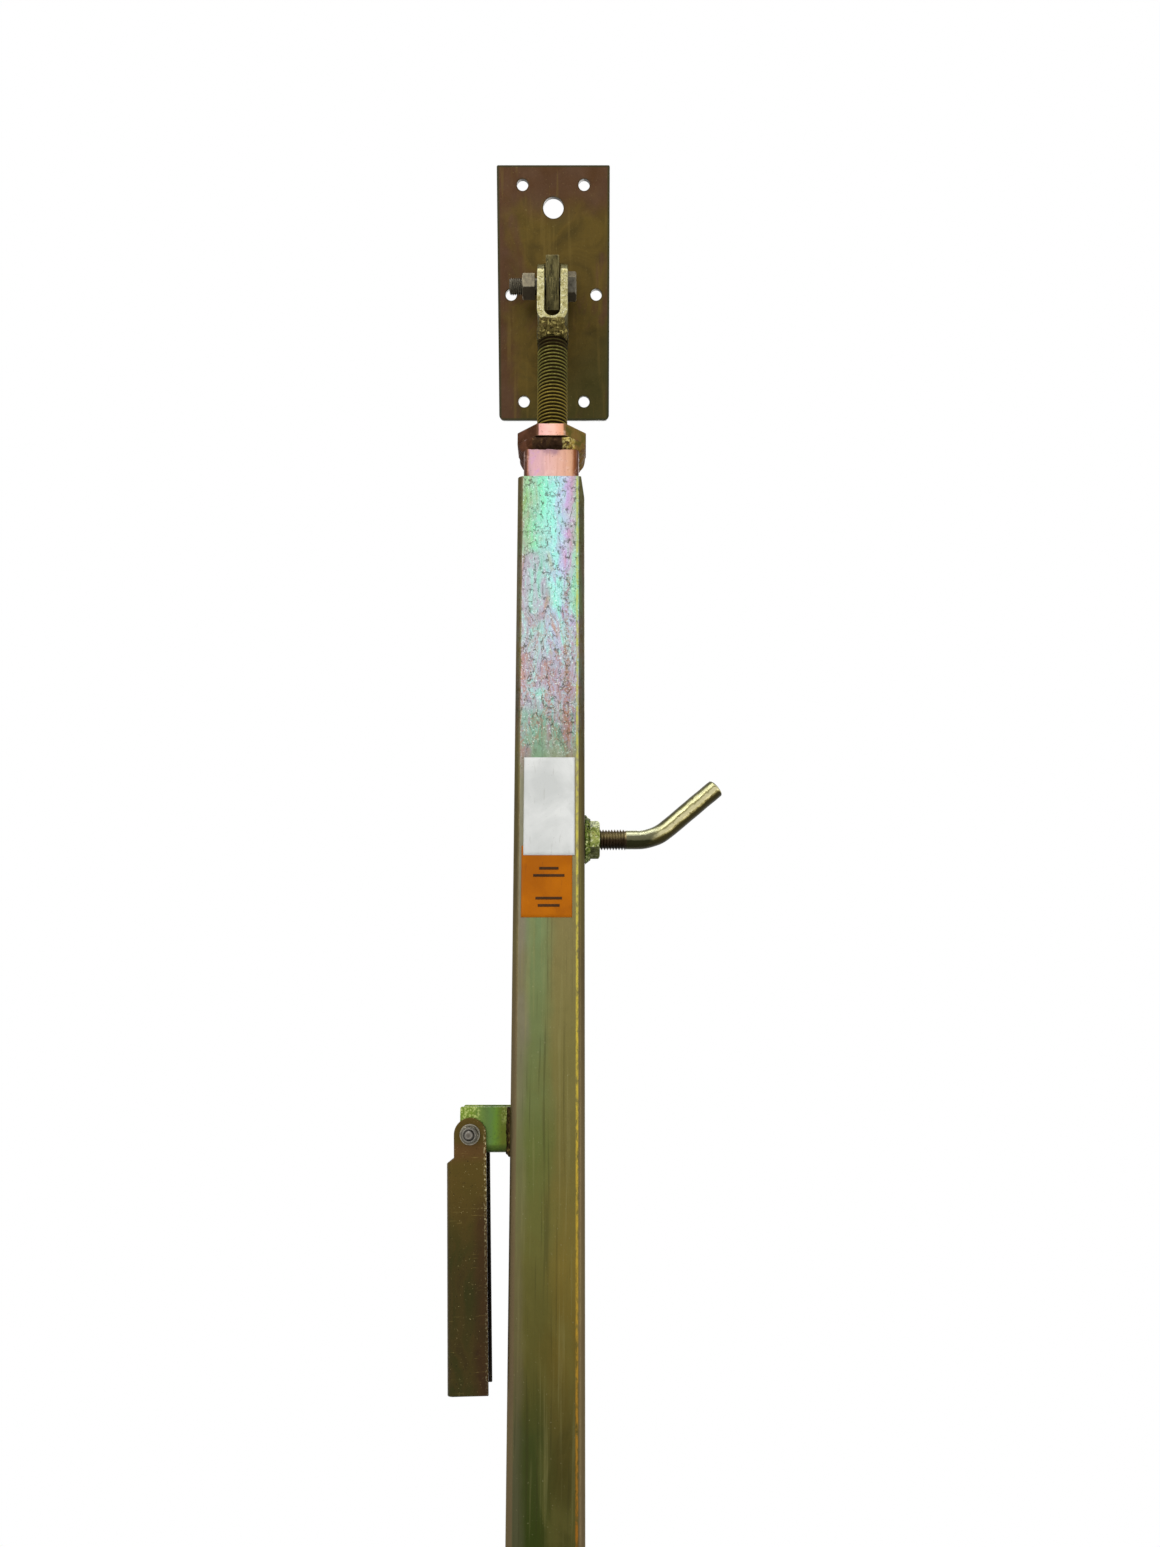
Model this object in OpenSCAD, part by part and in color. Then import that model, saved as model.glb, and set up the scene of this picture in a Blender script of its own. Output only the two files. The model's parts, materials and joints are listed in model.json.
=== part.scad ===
// Adjustable push-pull prop of two square steel tubes. The head plate bears on a wall panel, the
// foot plate on the floor. Opposite-handed spindles at the two ends let one turn of the tubes
// lengthen or shorten the prop, and a clamp screw holds the two tubes together.
//
// The origin is the centre of the head plate's bearing face, +Z is up along the tubes, and the
// prop hangs plumb from its head pivot, with the head plate tilted behind it towards +Y.

/* [End plates] */
// Width of each end plate
plate_w = 110; // [96:1:140]
// Length of each end plate
plate_l = 240; // [220:1:300]
// Thickness of each end plate
plate_t = 8; // [6:0.5:12]
// Corner radius at the plate's upper end
plate_upper_r = 1.5; // [0.5:0.5:6]
// Corner radius at the plate's lower end
plate_lower_r = 5; // [1:0.5:8]
// Angle between the head plate and the hanging prop
plate_tilt = 22; // [5:1:60]

/* [Plate holes] */
// Diameter of the small anchor holes
anchor_hole_d = 11; // [9:0.5:13]
// Distance of the corner holes from the plate's long edges
corner_hole_side = 25; // [20:1:30]
// Distance of the corner holes from the plate's ends
corner_hole_end = 18; // [14:1:20]
// Distance of the two middle holes from the plate's long edges
middle_hole_side = 13; // [10:0.5:14]
// Diameter of the large holes on the plate's centre line
large_hole_d = 20; // [16:1:22]
// Distance of the large holes from the plate's ends
large_hole_end = 39; // [34:1:44]

/* [Pivot lugs] */
// Thickness of the lug between the fork's ears
lug_t = 12.5; // [8:0.5:16]
// Length of the lug along the plate
lug_l = 50; // [44:1:60]
// Height of the pivot axis over the plate
pivot_h = 35; // [34:0.5:45]
// Steel beyond the pivot axis at the lug's free edge
lug_edge = 17; // [14:1:20]
// Leg of the weld round the lug's foot
lug_weld_leg = 5; // [3:0.5:8]

/* [Forks] */
// Thickness of the strap that is bent into the fork
strap_t = 7; // [4:0.5:8]
// Width of that strap, which is rounded about the pivot
strap_w = 40; // [36:1:46]
// Gap between the lug and each ear of the fork
ear_gap = 1.25; // [1:0.25:5]
// Space between the lug's swinging corner and the bend of the fork
swing_gap = 10; // [3:0.5:12]
// Length of the weld neck between the fork and the free thread
neck_l = 11; // [8:0.5:20]
// Thickness of the weld neck round the spindle
neck_t = 1; // [0.5:0.25:3]
// How far the weld neck climbs the sides of the bend
neck_climb = 5; // [3:0.5:8]
// Width of the weld over the strap's front and back edges
neck_pad_w = 24; // [18:1:26]
// Thickness of the weld over those edges
neck_pad_t = 1.5; // [0.5:0.25:3]

/* [Pivot bolts] */
// Diameter of the pivot bolts
pivot_bolt_d = 16; // [12:1:18]
// Clearance of the pivot bolts in their holes, all round
pivot_gap = 0.5; // [0.3:0.1:0.9]
// Width of the bolt heads and nuts across flats
pivot_af = 24; // [22:1:30]
// Thickness of the bolt heads
pivot_head_t = 8; // [6:0.5:12]
// Thickness of the pivot nuts
pivot_nut_t = 12; // [8:0.5:16]
// Play between the ear and the pivot nut
pivot_nut_play = 2.5; // [0:0.5:4]
// Bolt thread that stands out of the nut
pivot_bolt_end = 12.5; // [2:0.5:20]
// Turn of the bolt heads about their own axis
pivot_head_turn = 25; // [0:1:59]
// Turn of the pivot nuts about their own axis
pivot_nut_turn = 56; // [0:1:59]

/* [Spindles] */
// Diameter of the spindle threads
spindle_d = 28.6; // [24:0.2:32]
// Length of thread below the weld neck
spindle_l = 290; // [270:5:330]
// Thread that shows between the weld neck and the spindle nut
spindle_out = 99; // [90:1:140]

/* [Spindle nuts] */
// Width of the octagonal nuts across flats
nut_af = 63; // [56:1:66]
// Thickness of the octagonal flange of the nuts
nut_t = 12; // [8:0.5:20]
// Length of the round boss that each nut has inside its tube
nut_boss_l = 18; // [5:1:30]
// Clearance of the boss in its tube, all round
nut_boss_gap = 1; // [0.5:0.25:2]
// Clearance between the spindle and its nut, all round
thread_gap = 0.3; // [0.2:0.05:0.5]
// Height of the welds under the nuts
nut_weld_h = 11; // [6:1:16]

/* [Tubes] */
// Width of the outer tube
outer_w = 60; // [58:1:66]
// Wall of the outer tube
outer_wall = 4; // [3:0.5:4.5]
// Outside corner radius of the outer tube
outer_r = 6; // [5:0.5:8]
// Length of the outer tube
outer_l = 1820; // [1700:10:2200]
// Depth of the bevel on the clamp screw's side of the outer tube's top end
bevel_depth = 3; // [1:0.5:3.5]
// Length of that bevel
bevel_l = 20; // [10:1:40]
// Gap between the two tubes, on each side
slide_gap = 1; // [0.5:0.25:1.5]
// Wall of the inner tube
inner_wall = 4; // [3:0.5:4.5]
// Outside corner radius of the inner tube
inner_r = 5; // [4.5:0.5:8]
// Length of the inner tube
inner_l = 1150; // [1000:10:1250]
// Inner tube that stands out of the outer one
inner_out = 39; // [25:1:80]

/* [Clamp screw] */
// Depth of the clamp below the outer tube's top
clamp_drop = 326; // [200:1:400]
// Diameter of the clamp screw's thread
clamp_d = 18; // [16:1:20]
// Diameter of the bar beyond the thread
clamp_rod_d = 16.4; // [12:0.2:17]
// Clearance of the clamp screw in its nut, all round
clamp_gap = 0.3; // [0.2:0.05:0.5]
// Gap between the screw's tip and the inner tube
clamp_tip_gap = 0.3; // [0.2:0.05:0.6]
// Width of the clamp nut across flats
clamp_nut_af = 29; // [25:0.5:32]
// Thickness of the clamp nut
clamp_nut_t = 13; // [10:0.5:18]
// Leg of the weld round the clamp nut
clamp_weld_leg = 5; // [3:0.5:8]
// Distance from the tube's face to the end of the thread
clamp_thread_end = 36; // [30:1:40]
// Distance from the tube's face to the corner of the bend
clamp_reach = 60; // [45:1:90]
// Angle that the free end is bent up by
clamp_bend = 40; // [20:1:60]
// Centre line radius of the bend
clamp_bend_r = 40; // [20:1:44]
// Length of the free end, from the corner of the bend
clamp_arm = 72; // [40:1:100]

/* [Handle bracket] */
// Depth of the bracket's top below the outer tube's top
bracket_drop = 548; // [450:1:700]
// Height of the bracket
bracket_h = 36; // [32:1:42]
// Reach of the bracket out of the tube's face
bracket_reach = 41; // [40:1:48]
// Thickness of the bracket's strap
bracket_t = 4; // [3:0.5:6]
// Outside radius of the bracket's two bends
bracket_bend_r = 7; // [6.5:0.5:9]
// Radius of the bracket's upper outer corners
bracket_corner_r = 1.5; // [1:0.5:6]
// Leg of the weld that holds the bracket
bracket_weld_leg = 4; // [2:0.5:6]

/* [Turning handle] */
// Width of the handle channel across its two sides
channel_w = 44; // [40:1:50]
// Depth of the handle channel
channel_depth = 32; // [30:0.5:38]
// Wall of the handle channel
channel_t = 3; // [2:0.25:4]
// Outside radius of the channel's two bends
channel_bend_r = 5; // [4.5:0.5:8]
// Length of the handle below its pivot
handle_l = 194; // [140:1:240]
// Lean of the hanging handle towards the tubes
handle_lean = 1.5; // [0:0.5:3]
// Play between the channel's sides and the bracket, on each side
channel_play = 0.5; // [0.3:0.1:1]
// Radius of the ears about the handle pivot
ear_r = 13; // [12:0.5:15]
// Depth of the pivot below the bracket's top
handle_pivot_drop = 21.5; // [19:0.5:26]
// Distance of the pivot from the bracket's outer end
handle_pivot_in = 8.5; // [7:0.5:12]
// Distance from the pivot down to the start of the channel's web
web_drop = 22; // [20:0.5:28]
// Height of the slope from each ear to the channel's web
shoulder_h = 4; // [1:0.5:8]

/* [Handle bolt] */
// Diameter of the handle bolt
handle_bolt_d = 8; // [7:1:10]
// Clearance of the handle bolt in its holes, all round
handle_bolt_gap = 0.5; // [0.3:0.1:0.9]
// Width of the bolt's head and nut across flats
handle_af = 13; // [13:0.5:16]
// Thickness of the bolt's head
handle_head_t = 5.5; // [4:0.5:7]
// Thickness of the hexagon of the lock nut
handle_nut_t = 6; // [4:0.5:8]
// Height of the lock nut's round collar
handle_collar_t = 2; // [1:0.5:4]
// Bolt thread that stands out of the lock nut
handle_bolt_end = 3; // [1:0.5:8]
// Diameter of the washers
washer_d = 16.5; // [15.5:0.5:22]
// Thickness of the washers
washer_t = 1.5; // [1:0.25:3]

/* [Hidden] */

$fn = 64;
hexagon = 6;
octagon = 8;
cut = 1;        // how far a cutting shape runs past the face it cuts
end_chamfer = 1.5;
weld_lip = 1;   // width left at the thin edge of a round weld
hex_face = 0.98; // distance between two cut corners, as a share of a hexagon's width across flats
hex_slope = 4;  // how much that distance grows for each mm of height
left = -1;
right = 1;
front = -1;
back = 1;

steel = "silver";
dark_steel = "dimgray";
zinc_gold = "darkgoldenrod";
zinc_olive = "olive";
zinc_green = "olivedrab";
zinc_brown = "sienna";
weld_metal = "goldenrod";

// The head pivot, about which the prop swings. Depths further down are measured from it.
pivot_y = -(plate_t + pivot_h) * cos(plate_tilt);
pivot_z = -(plate_t + pivot_h) * sin(plate_tilt);

// Fork: the lug's free corner swings inside the bend.
bend_inner_r = lug_t / 2 + ear_gap;
bend_outer_r = bend_inner_r + strap_t;
lug_swing_r = norm([lug_edge, lug_l / 2]);
bend_drop = lug_swing_r + swing_gap - sqrt(bend_inner_r ^ 2 - (lug_t / 2) ^ 2);
fork_drop = bend_drop + bend_outer_r;
neck_drop = fork_drop + neck_l;
ear_top = strap_w / 2;

// Levels of the tubes, as depths below the head pivot
nut_drop = neck_drop + spindle_out;
inner_drop = nut_drop + nut_t;
outer_drop = inner_drop + inner_out;
outer_end = outer_drop + outer_l;
lower_nut_end = outer_end + nut_t;
foot_pivot_drop = lower_nut_end + spindle_out + neck_drop;
ground_drop = foot_pivot_drop + pivot_h + plate_t;

// Tube openings
outer_opening = outer_w - 2 * outer_wall;
inner_w = outer_opening - 2 * slide_gap;
inner_opening = inner_w - 2 * inner_wall;
tube_face = outer_w / 2;

// Clamp screw
clamp_depth = outer_drop + clamp_drop;
clamp_tip = inner_w / 2 + clamp_tip_gap;
clamp_tangent = clamp_bend_r * tan(clamp_bend / 2);
clamp_straight_end = tube_face + clamp_reach - clamp_tangent;

// Handle
bracket_w = channel_w - 2 * (channel_t + channel_play);
bracket_depth = outer_drop + bracket_drop;
handle_pivot_x = -(tube_face + bracket_reach - handle_pivot_in);
handle_depth = bracket_depth + handle_pivot_drop;
web_out = channel_depth - ear_r;

// Moves its children to a depth below the head pivot, on the prop's axis.
module at_depth(depth) {
    translate([0, pivot_y, pivot_z - depth]) children();
}

// Head plate position: the bearing face lies on the origin.
module at_head_plate() {
    rotate([90 + plate_tilt, 0, 0]) children();
}

// Foot plate position: the bearing face is level, at the foot of the prop.
module at_foot_plate() {
    at_depth(ground_drop) children();
}

// Turns a fork that points up into one that points down, on the foot pivot.
module at_foot_pivot() {
    at_depth(foot_pivot_drop) mirror([0, 0, 1]) children();
}

// What a corner radius takes off a square corner at the 2D origin.
module corner_waste(r) {
    translate([-r, -r]) difference() {
        square(r + cut);
        circle(r);
    }
}

module rounded_square(w, r) {
    difference() {
        square(w, center = true);
        for (a = [0:90:270]) rotate(a) translate([w / 2, w / 2]) corner_waste(r);
    }
}

module square_tube(w, wall, r, length) {
    translate([0, 0, -length]) linear_extrude(length) difference() {
        rounded_square(w, r);
        rounded_square(w - 2 * wall, r - wall);
    }
}

// Polygon prism that is af wide across its flats, with one flat facing -Y.
module flat_prism(af, h, sides) {
    rotate([0, 0, 180 / sides + 90]) cylinder(d = af / cos(180 / sides), h = h, $fn = sides);
}

// Hexagon whose top corners are cut off by sloping flats, as on bolt heads and nuts.
module chamfered_hexagon(af, h) {
    intersection() {
        flat_prism(af, h, hexagon);
        rotate([0, 0, 180 / hexagon])
            cylinder(d1 = (hex_face * af + hex_slope * h) / cos(180 / hexagon),
                     d2 = hex_face * af / cos(180 / hexagon), h = h, $fn = hexagon);
    }
}

// Round bar from z = 0, with its far end chamfered.
module bar(d, length) {
    cylinder(d = d, h = length - end_chamfer);
    translate([0, 0, length - end_chamfer])
        cylinder(d1 = d, d2 = d - 2 * end_chamfer, h = end_chamfer);
}

// Frustum from z = 0 up to z = h, with rectangular ends.
module frustum(base, top, h) {
    intersection() {
        rotate([90, 0, 0]) linear_extrude(2 * base.y, center = true)
            polygon([[-base.x / 2, 0], [base.x / 2, 0], [top.x / 2, h], [-top.x / 2, h]]);
        rotate([90, 0, 90]) linear_extrude(2 * base.x, center = true)
            polygon([[-base.y / 2, 0], [base.y / 2, 0], [top.y / 2, h], [-top.y / 2, h]]);
    }
}

// Fillet weld round a rectangular foot that stands on z = 0.
module fillet_round(size, leg) {
    difference() {
        frustum([size.x + 2 * leg, size.y + 2 * leg], size, leg);
        translate([0, 0, leg / 2]) cube([size.x, size.y, leg + 2 * cut], center = true);
    }
}

// Plate with its bearing face at z = 0 and its long side along Y.
module plate_solid() {
    linear_extrude(plate_t) difference() {
        square([plate_w, plate_l], center = true);
        for (side = [left, right]) {
            translate([side * plate_w / 2, plate_l / 2])
                mirror([1 - side, 0]) corner_waste(plate_upper_r);
            translate([side * plate_w / 2, -plate_l / 2])
                mirror([1 - side, 0]) mirror([0, 1]) corner_waste(plate_lower_r);
            translate([side * (plate_w / 2 - middle_hole_side), 0]) circle(d = anchor_hole_d);
            for (end = [-1, 1])
                translate([side * (plate_w / 2 - corner_hole_side),
                           end * (plate_l / 2 - corner_hole_end)])
                    circle(d = anchor_hole_d);
        }
        for (end = [-1, 1])
            translate([0, end * (plate_l / 2 - large_hole_end)]) circle(d = large_hole_d);
    }
}

// Lug on the plate, drilled along X for the pivot bolt.
module lug_solid() {
    difference() {
        translate([-lug_t / 2, -lug_l / 2, plate_t])
            cube([lug_t, lug_l, pivot_h + lug_edge]);
        translate([-lug_t, 0, plate_t + pivot_h]) rotate([0, 90, 0])
            cylinder(d = pivot_bolt_d + 2 * pivot_gap, h = 2 * lug_t);
    }
}

module lug_weld_solid() {
    translate([0, 0, plate_t]) fillet_round([lug_t, lug_l], lug_weld_leg);
}

// Outline of the bent strap in XZ, without its opening.
module bend_outline(r) {
    translate([0, -bend_drop]) {
        circle(r);
        translate([-r, 0]) square([2 * r, bend_drop + ear_top]);
    }
}

// Fork that opens upwards, with the pivot axis along X through the origin.
module fork_solid() {
    difference() {
        intersection() {
            rotate([90, 0, 0]) linear_extrude(strap_w, center = true) difference() {
                bend_outline(bend_outer_r);
                bend_outline(bend_inner_r);
                translate([-bend_inner_r, 0]) square([2 * bend_inner_r, ear_top + cut]);
            }
            rotate([90, 0, 90]) linear_extrude(2 * bend_outer_r + cut, center = true) {
                circle(strap_w / 2);
                translate([-strap_w / 2, -fork_drop - cut]) square([strap_w, fork_drop + cut]);
            }
        }
        rotate([0, 90, 0])
            cylinder(d = pivot_bolt_d + 2 * pivot_gap, h = 3 * bend_outer_r, center = true);
    }
}

// Weld between the bend of the fork and the spindle: a collar round the spindle, with pads that
// run up over the front and back edges of the strap.
module neck_solid() {
    neck_d = spindle_d + 2 * neck_t;
    pads = [neck_pad_w, strap_w + 2 * neck_pad_t];
    difference() {
        translate([0, 0, -neck_drop]) {
            cylinder(d1 = spindle_d + neck_t, d2 = neck_d, h = neck_l / 2);
            translate([0, 0, neck_l / 2]) cylinder(d = neck_d, h = neck_l / 2 + neck_climb);
            frustum([neck_pad_w, spindle_d], pads, neck_l);
            translate([0, 0, neck_l]) frustum(pads, [neck_pad_w, strap_w + neck_pad_t], neck_climb);
        }
        rotate([90, 0, 0]) linear_extrude(strap_w, center = true) bend_outline(bend_outer_r);
        translate([0, 0, -neck_drop - cut]) cylinder(d = spindle_d, h = neck_l + cut);
    }
}

// Spindle that hangs from the bend of the fork.
module spindle_solid() {
    translate([0, 0, -fork_drop]) mirror([0, 0, 1]) bar(spindle_d, neck_l + spindle_l);
}

// Pivot bolt along X, with its head on the +X ear.
module pivot_bolt_solid() {
    translate([bend_outer_r, 0, 0]) rotate([0, 90, 0]) rotate([0, 0, pivot_head_turn])
        chamfered_hexagon(pivot_af, pivot_head_t);
    translate([bend_outer_r, 0, 0]) rotate([0, -90, 0])
        bar(pivot_bolt_d, 2 * bend_outer_r + pivot_nut_play + pivot_nut_t + pivot_bolt_end);
}

module pivot_nut_solid() {
    translate([-bend_outer_r - pivot_nut_play, 0, 0]) rotate([0, -90, 0])
        rotate([0, 0, pivot_nut_turn]) difference() {
            chamfered_hexagon(pivot_af, pivot_nut_t);
            translate([0, 0, -cut]) cylinder(d = pivot_bolt_d, h = pivot_nut_t + 2 * cut);
        }
}

// Octagonal spindle nut: the flange lies over z = 0 and the boss reaches into a tube below.
module spindle_nut_solid(opening) {
    difference() {
        union() {
            flat_prism(nut_af, nut_t, octagon);
            translate([0, 0, -nut_boss_l]) cylinder(d = opening - 2 * nut_boss_gap, h = nut_boss_l);
        }
        translate([0, 0, -nut_boss_l - cut])
            cylinder(d = spindle_d + 2 * thread_gap, h = nut_boss_l + nut_t + 2 * cut);
    }
}

// Fillet welds between the underside of a spindle nut, at z = 0, and the four faces of a tube.
module nut_weld_solid(tube_w, tube_r) {
    difference() {
        intersection() {
            mirror([0, 0, 1]) frustum([nut_af, nut_af], [tube_w, tube_w], nut_weld_h);
            translate([0, 0, -nut_weld_h]) flat_prism(nut_af, nut_weld_h, octagon);
        }
        translate([0, 0, -nut_weld_h - cut])
            linear_extrude(nut_weld_h + 2 * cut) rounded_square(tube_w, tube_r);
    }
}

module head_plate() {
    color(zinc_gold) at_head_plate() plate_solid();
}

module head_lug() {
    color(zinc_olive) at_head_plate() lug_solid();
}

module head_lug_weld() {
    color(weld_metal) at_head_plate() lug_weld_solid();
}

module head_fork() {
    color(zinc_gold) at_depth(0) fork_solid();
}

module head_fork_weld() {
    color(weld_metal) at_depth(0) neck_solid();
}

module head_spindle() {
    color(zinc_olive) at_depth(0) spindle_solid();
}

module head_pivot_bolt() {
    color(dark_steel) at_depth(0) pivot_bolt_solid();
}

module head_pivot_nut() {
    color(dark_steel) at_depth(0) pivot_nut_solid();
}

module upper_nut() {
    color(zinc_brown) at_depth(inner_drop) spindle_nut_solid(inner_opening);
}

module upper_nut_weld() {
    color(weld_metal) at_depth(inner_drop) nut_weld_solid(inner_w, inner_r);
}

module inner_tube() {
    color(zinc_gold) at_depth(inner_drop) square_tube(inner_w, inner_wall, inner_r, inner_l);
}

// Outer tube, drilled on its right face for the clamp screw.
module outer_tube() {
    color(zinc_olive) difference() {
        at_depth(outer_drop) square_tube(outer_w, outer_wall, outer_r, outer_l);
        at_depth(outer_drop) translate([outer_w / 2, 0, 0]) rotate([90, 0, 0])
            linear_extrude(outer_w + 2 * cut, center = true)
                polygon([[cut, cut], [-bevel_depth, cut], [-bevel_depth, 0], [0, -bevel_l], [cut, -bevel_l]]);
        at_depth(clamp_depth) translate([outer_opening / 2 - outer_wall, 0, 0]) rotate([0, 90, 0])
            cylinder(d = clamp_d + 2 * clamp_gap, h = 3 * outer_wall);
    }
}

module lower_nut() {
    color(zinc_brown) at_depth(outer_end) mirror([0, 0, 1]) spindle_nut_solid(outer_opening);
}

module lower_nut_weld() {
    color(weld_metal) at_depth(outer_end) mirror([0, 0, 1]) nut_weld_solid(outer_w, outer_r);
}

module clamp_nut() {
    color(zinc_green) at_depth(clamp_depth) translate([tube_face, 0, 0]) rotate([0, 90, 0])
        difference() {
            chamfered_hexagon(clamp_nut_af, clamp_nut_t);
            translate([0, 0, -cut])
                cylinder(d = clamp_d + 2 * clamp_gap, h = clamp_nut_t + 2 * cut);
        }
}

module clamp_nut_weld() {
    across_corners = clamp_nut_af / cos(180 / hexagon);
    color(weld_metal) at_depth(clamp_depth) translate([tube_face, 0, 0]) rotate([0, 90, 0])
        difference() {
            cylinder(d1 = across_corners + 2 * clamp_weld_leg, d2 = across_corners + weld_lip,
                     h = clamp_weld_leg);
            translate([0, 0, -cut])
                flat_prism(clamp_nut_af, clamp_weld_leg + 2 * cut, hexagon);
        }
}

// Clamp screw: a threaded end through the nut, then a thinner bar that bends up in the XZ plane. A
// core joins the bend and the free end inside the bar.
module clamp_screw() {
    thread_l = tube_face + clamp_thread_end - clamp_tip;
    rod_l = clamp_straight_end - clamp_tip - thread_l / 2;
    color(zinc_gold) at_depth(clamp_depth) {
        translate([clamp_tip + thread_l, 0, 0]) rotate([0, -90, 0]) bar(clamp_d, thread_l);
        rotate([90, 0, 0]) translate([clamp_straight_end, clamp_bend_r]) {
            translate([0, -clamp_bend_r]) rotate([0, -90, 0]) cylinder(d = clamp_rod_d, h = rod_l);
            rotate(-90) rotate_extrude(angle = clamp_bend)
                translate([clamp_bend_r, 0]) circle(d = clamp_rod_d);
            rotate(clamp_bend) translate([0, -clamp_bend_r]) rotate([0, 90, 0]) {
                bar(clamp_rod_d, clamp_arm - clamp_tangent);
                cylinder(d = clamp_rod_d / 2, h = clamp_rod_d, center = true);
            }
        }
    }
}

// Gutter section in YZ of the bracket, open at the top, which is at y = 0.
module bracket_section() {
    difference() {
        translate([-bracket_w / 2, -bracket_h]) square([bracket_w, bracket_h]);
        for (side = [left, right]) translate([side * bracket_w / 2, -bracket_h])
            mirror([1 - side, 0]) mirror([0, 1]) corner_waste(bracket_bend_r);
        difference() {
            translate([-bracket_w / 2 + bracket_t, -bracket_h + bracket_t])
                square([bracket_w - 2 * bracket_t, bracket_h]);
            for (side = [left, right])
                translate([side * (bracket_w / 2 - bracket_t), -bracket_h + bracket_t])
                    mirror([1 - side, 0]) mirror([0, 1]) corner_waste(bracket_bend_r - bracket_t);
        }
    }
}

// Bracket that the handle swings on, a strap bent into a gutter and welded to the left face.
module handle_bracket() {
    color(zinc_green) difference() {
        at_depth(bracket_depth) translate([-tube_face, 0, 0]) intersection() {
            rotate([90, 0, -90]) linear_extrude(bracket_reach) bracket_section();
            rotate([90, 0, 0]) linear_extrude(bracket_w + cut, center = true) difference() {
                translate([-bracket_reach, -bracket_h]) square([bracket_reach, bracket_h]);
                translate([-bracket_reach, 0]) mirror([1, 0]) corner_waste(bracket_corner_r);
            }
        }
        at_depth(handle_depth) translate([handle_pivot_x, 0, 0]) rotate([90, 0, 0])
            cylinder(d = handle_bolt_d, h = bracket_w + 2 * cut, center = true);
    }
}

// Weld along the front, bottom and back of the bracket's end.
module handle_bracket_weld() {
    color(weld_metal) at_depth(bracket_depth + bracket_h / 2) translate([-tube_face, 0, 0])
        rotate([0, -90, 0]) intersection() {
            fillet_round([bracket_h, bracket_w], bracket_weld_leg);
            translate([-bracket_h / 2 - bracket_weld_leg, -bracket_w, 0])
                cube([bracket_h + bracket_weld_leg, 2 * bracket_w, bracket_weld_leg]);
        }
}

module handle_bolt() {
    grip = channel_w + 2 * washer_t;
    color(steel) at_depth(handle_depth) translate([handle_pivot_x, grip / 2, 0]) {
        rotate([-90, 0, 0]) chamfered_hexagon(handle_af, handle_head_t);
        rotate([90, 0, 0])
            bar(handle_bolt_d, grip + handle_nut_t + handle_collar_t + handle_bolt_end);
    }
}

// Lock nut: a hexagon with a round collar towards the bolt's end.
module handle_nut() {
    color(steel) at_depth(handle_depth)
        translate([handle_pivot_x, -channel_w / 2 - washer_t, 0]) rotate([90, 0, 0]) difference() {
            union() {
                chamfered_hexagon(handle_af, handle_nut_t);
                cylinder(d = handle_af - 2, h = handle_nut_t + handle_collar_t);
            }
            translate([0, 0, -cut])
                cylinder(d = handle_bolt_d, h = handle_nut_t + handle_collar_t + 2 * cut);
        }
}

module handle_washers() {
    color(steel) at_depth(handle_depth) for (side = [front, back])
        translate([handle_pivot_x, side * (channel_w + washer_t) / 2, 0]) rotate([90, 0, 0])
            difference() {
                cylinder(d = washer_d, h = washer_t, center = true);
                cylinder(d = handle_bolt_d, h = washer_t + 2 * cut, center = true);
            }
}

// Side view in XZ of the handle, with the pivot at the origin and the web towards -X.
module handle_outline() {
    difference() {
        polygon([
            [ear_r, ear_r],
            [ear_r, -handle_l],
            [-web_out, -handle_l],
            [-web_out, -web_drop],
            [-ear_r, -web_drop + shoulder_h],
            [-ear_r, ear_r],
        ]);
        translate([ear_r, ear_r]) corner_waste(ear_r);
        translate([-ear_r, ear_r]) mirror([1, 0]) corner_waste(ear_r);
    }
}

// Section in XY of the handle's channel, open towards +X.
module channel_section() {
    difference() {
        translate([-web_out, -channel_w / 2]) square([channel_depth, channel_w]);
        for (side = [left, right]) translate([-web_out, side * channel_w / 2])
            mirror([1, 0]) mirror([0, 1 - side]) corner_waste(channel_bend_r);
        difference() {
            translate([-web_out + channel_t, -channel_w / 2 + channel_t])
                square([channel_depth, channel_w - 2 * channel_t]);
            for (side = [left, right])
                translate([-web_out + channel_t, side * (channel_w / 2 - channel_t)])
                    mirror([1, 0]) mirror([0, 1 - side]) corner_waste(channel_bend_r - channel_t);
        }
    }
}

// Handle that turns the tubes: a channel whose sides run on into two rounded ears.
module turning_handle() {
    color(zinc_olive) at_depth(handle_depth) translate([handle_pivot_x, 0, 0])
        rotate([0, -handle_lean, 0]) difference() {
            intersection() {
                rotate([90, 0, 0]) linear_extrude(channel_w + cut, center = true) handle_outline();
                translate([0, 0, -handle_l]) linear_extrude(handle_l + ear_r) channel_section();
            }
            rotate([90, 0, 0]) cylinder(d = handle_bolt_d + 2 * handle_bolt_gap,
                                        h = channel_w + 2 * cut, center = true);
        }
}

module foot_spindle() {
    color(zinc_olive) at_foot_pivot() spindle_solid();
}

module foot_fork() {
    color(zinc_gold) at_foot_pivot() fork_solid();
}

module foot_fork_weld() {
    color(weld_metal) at_foot_pivot() neck_solid();
}

module foot_pivot_bolt() {
    color(dark_steel) at_foot_pivot() pivot_bolt_solid();
}

module foot_pivot_nut() {
    color(dark_steel) at_foot_pivot() pivot_nut_solid();
}

module foot_plate() {
    color(zinc_gold) at_foot_plate() plate_solid();
}

module foot_lug() {
    color(zinc_olive) at_foot_plate() lug_solid();
}

module foot_lug_weld() {
    color(weld_metal) at_foot_plate() lug_weld_solid();
}

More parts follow.
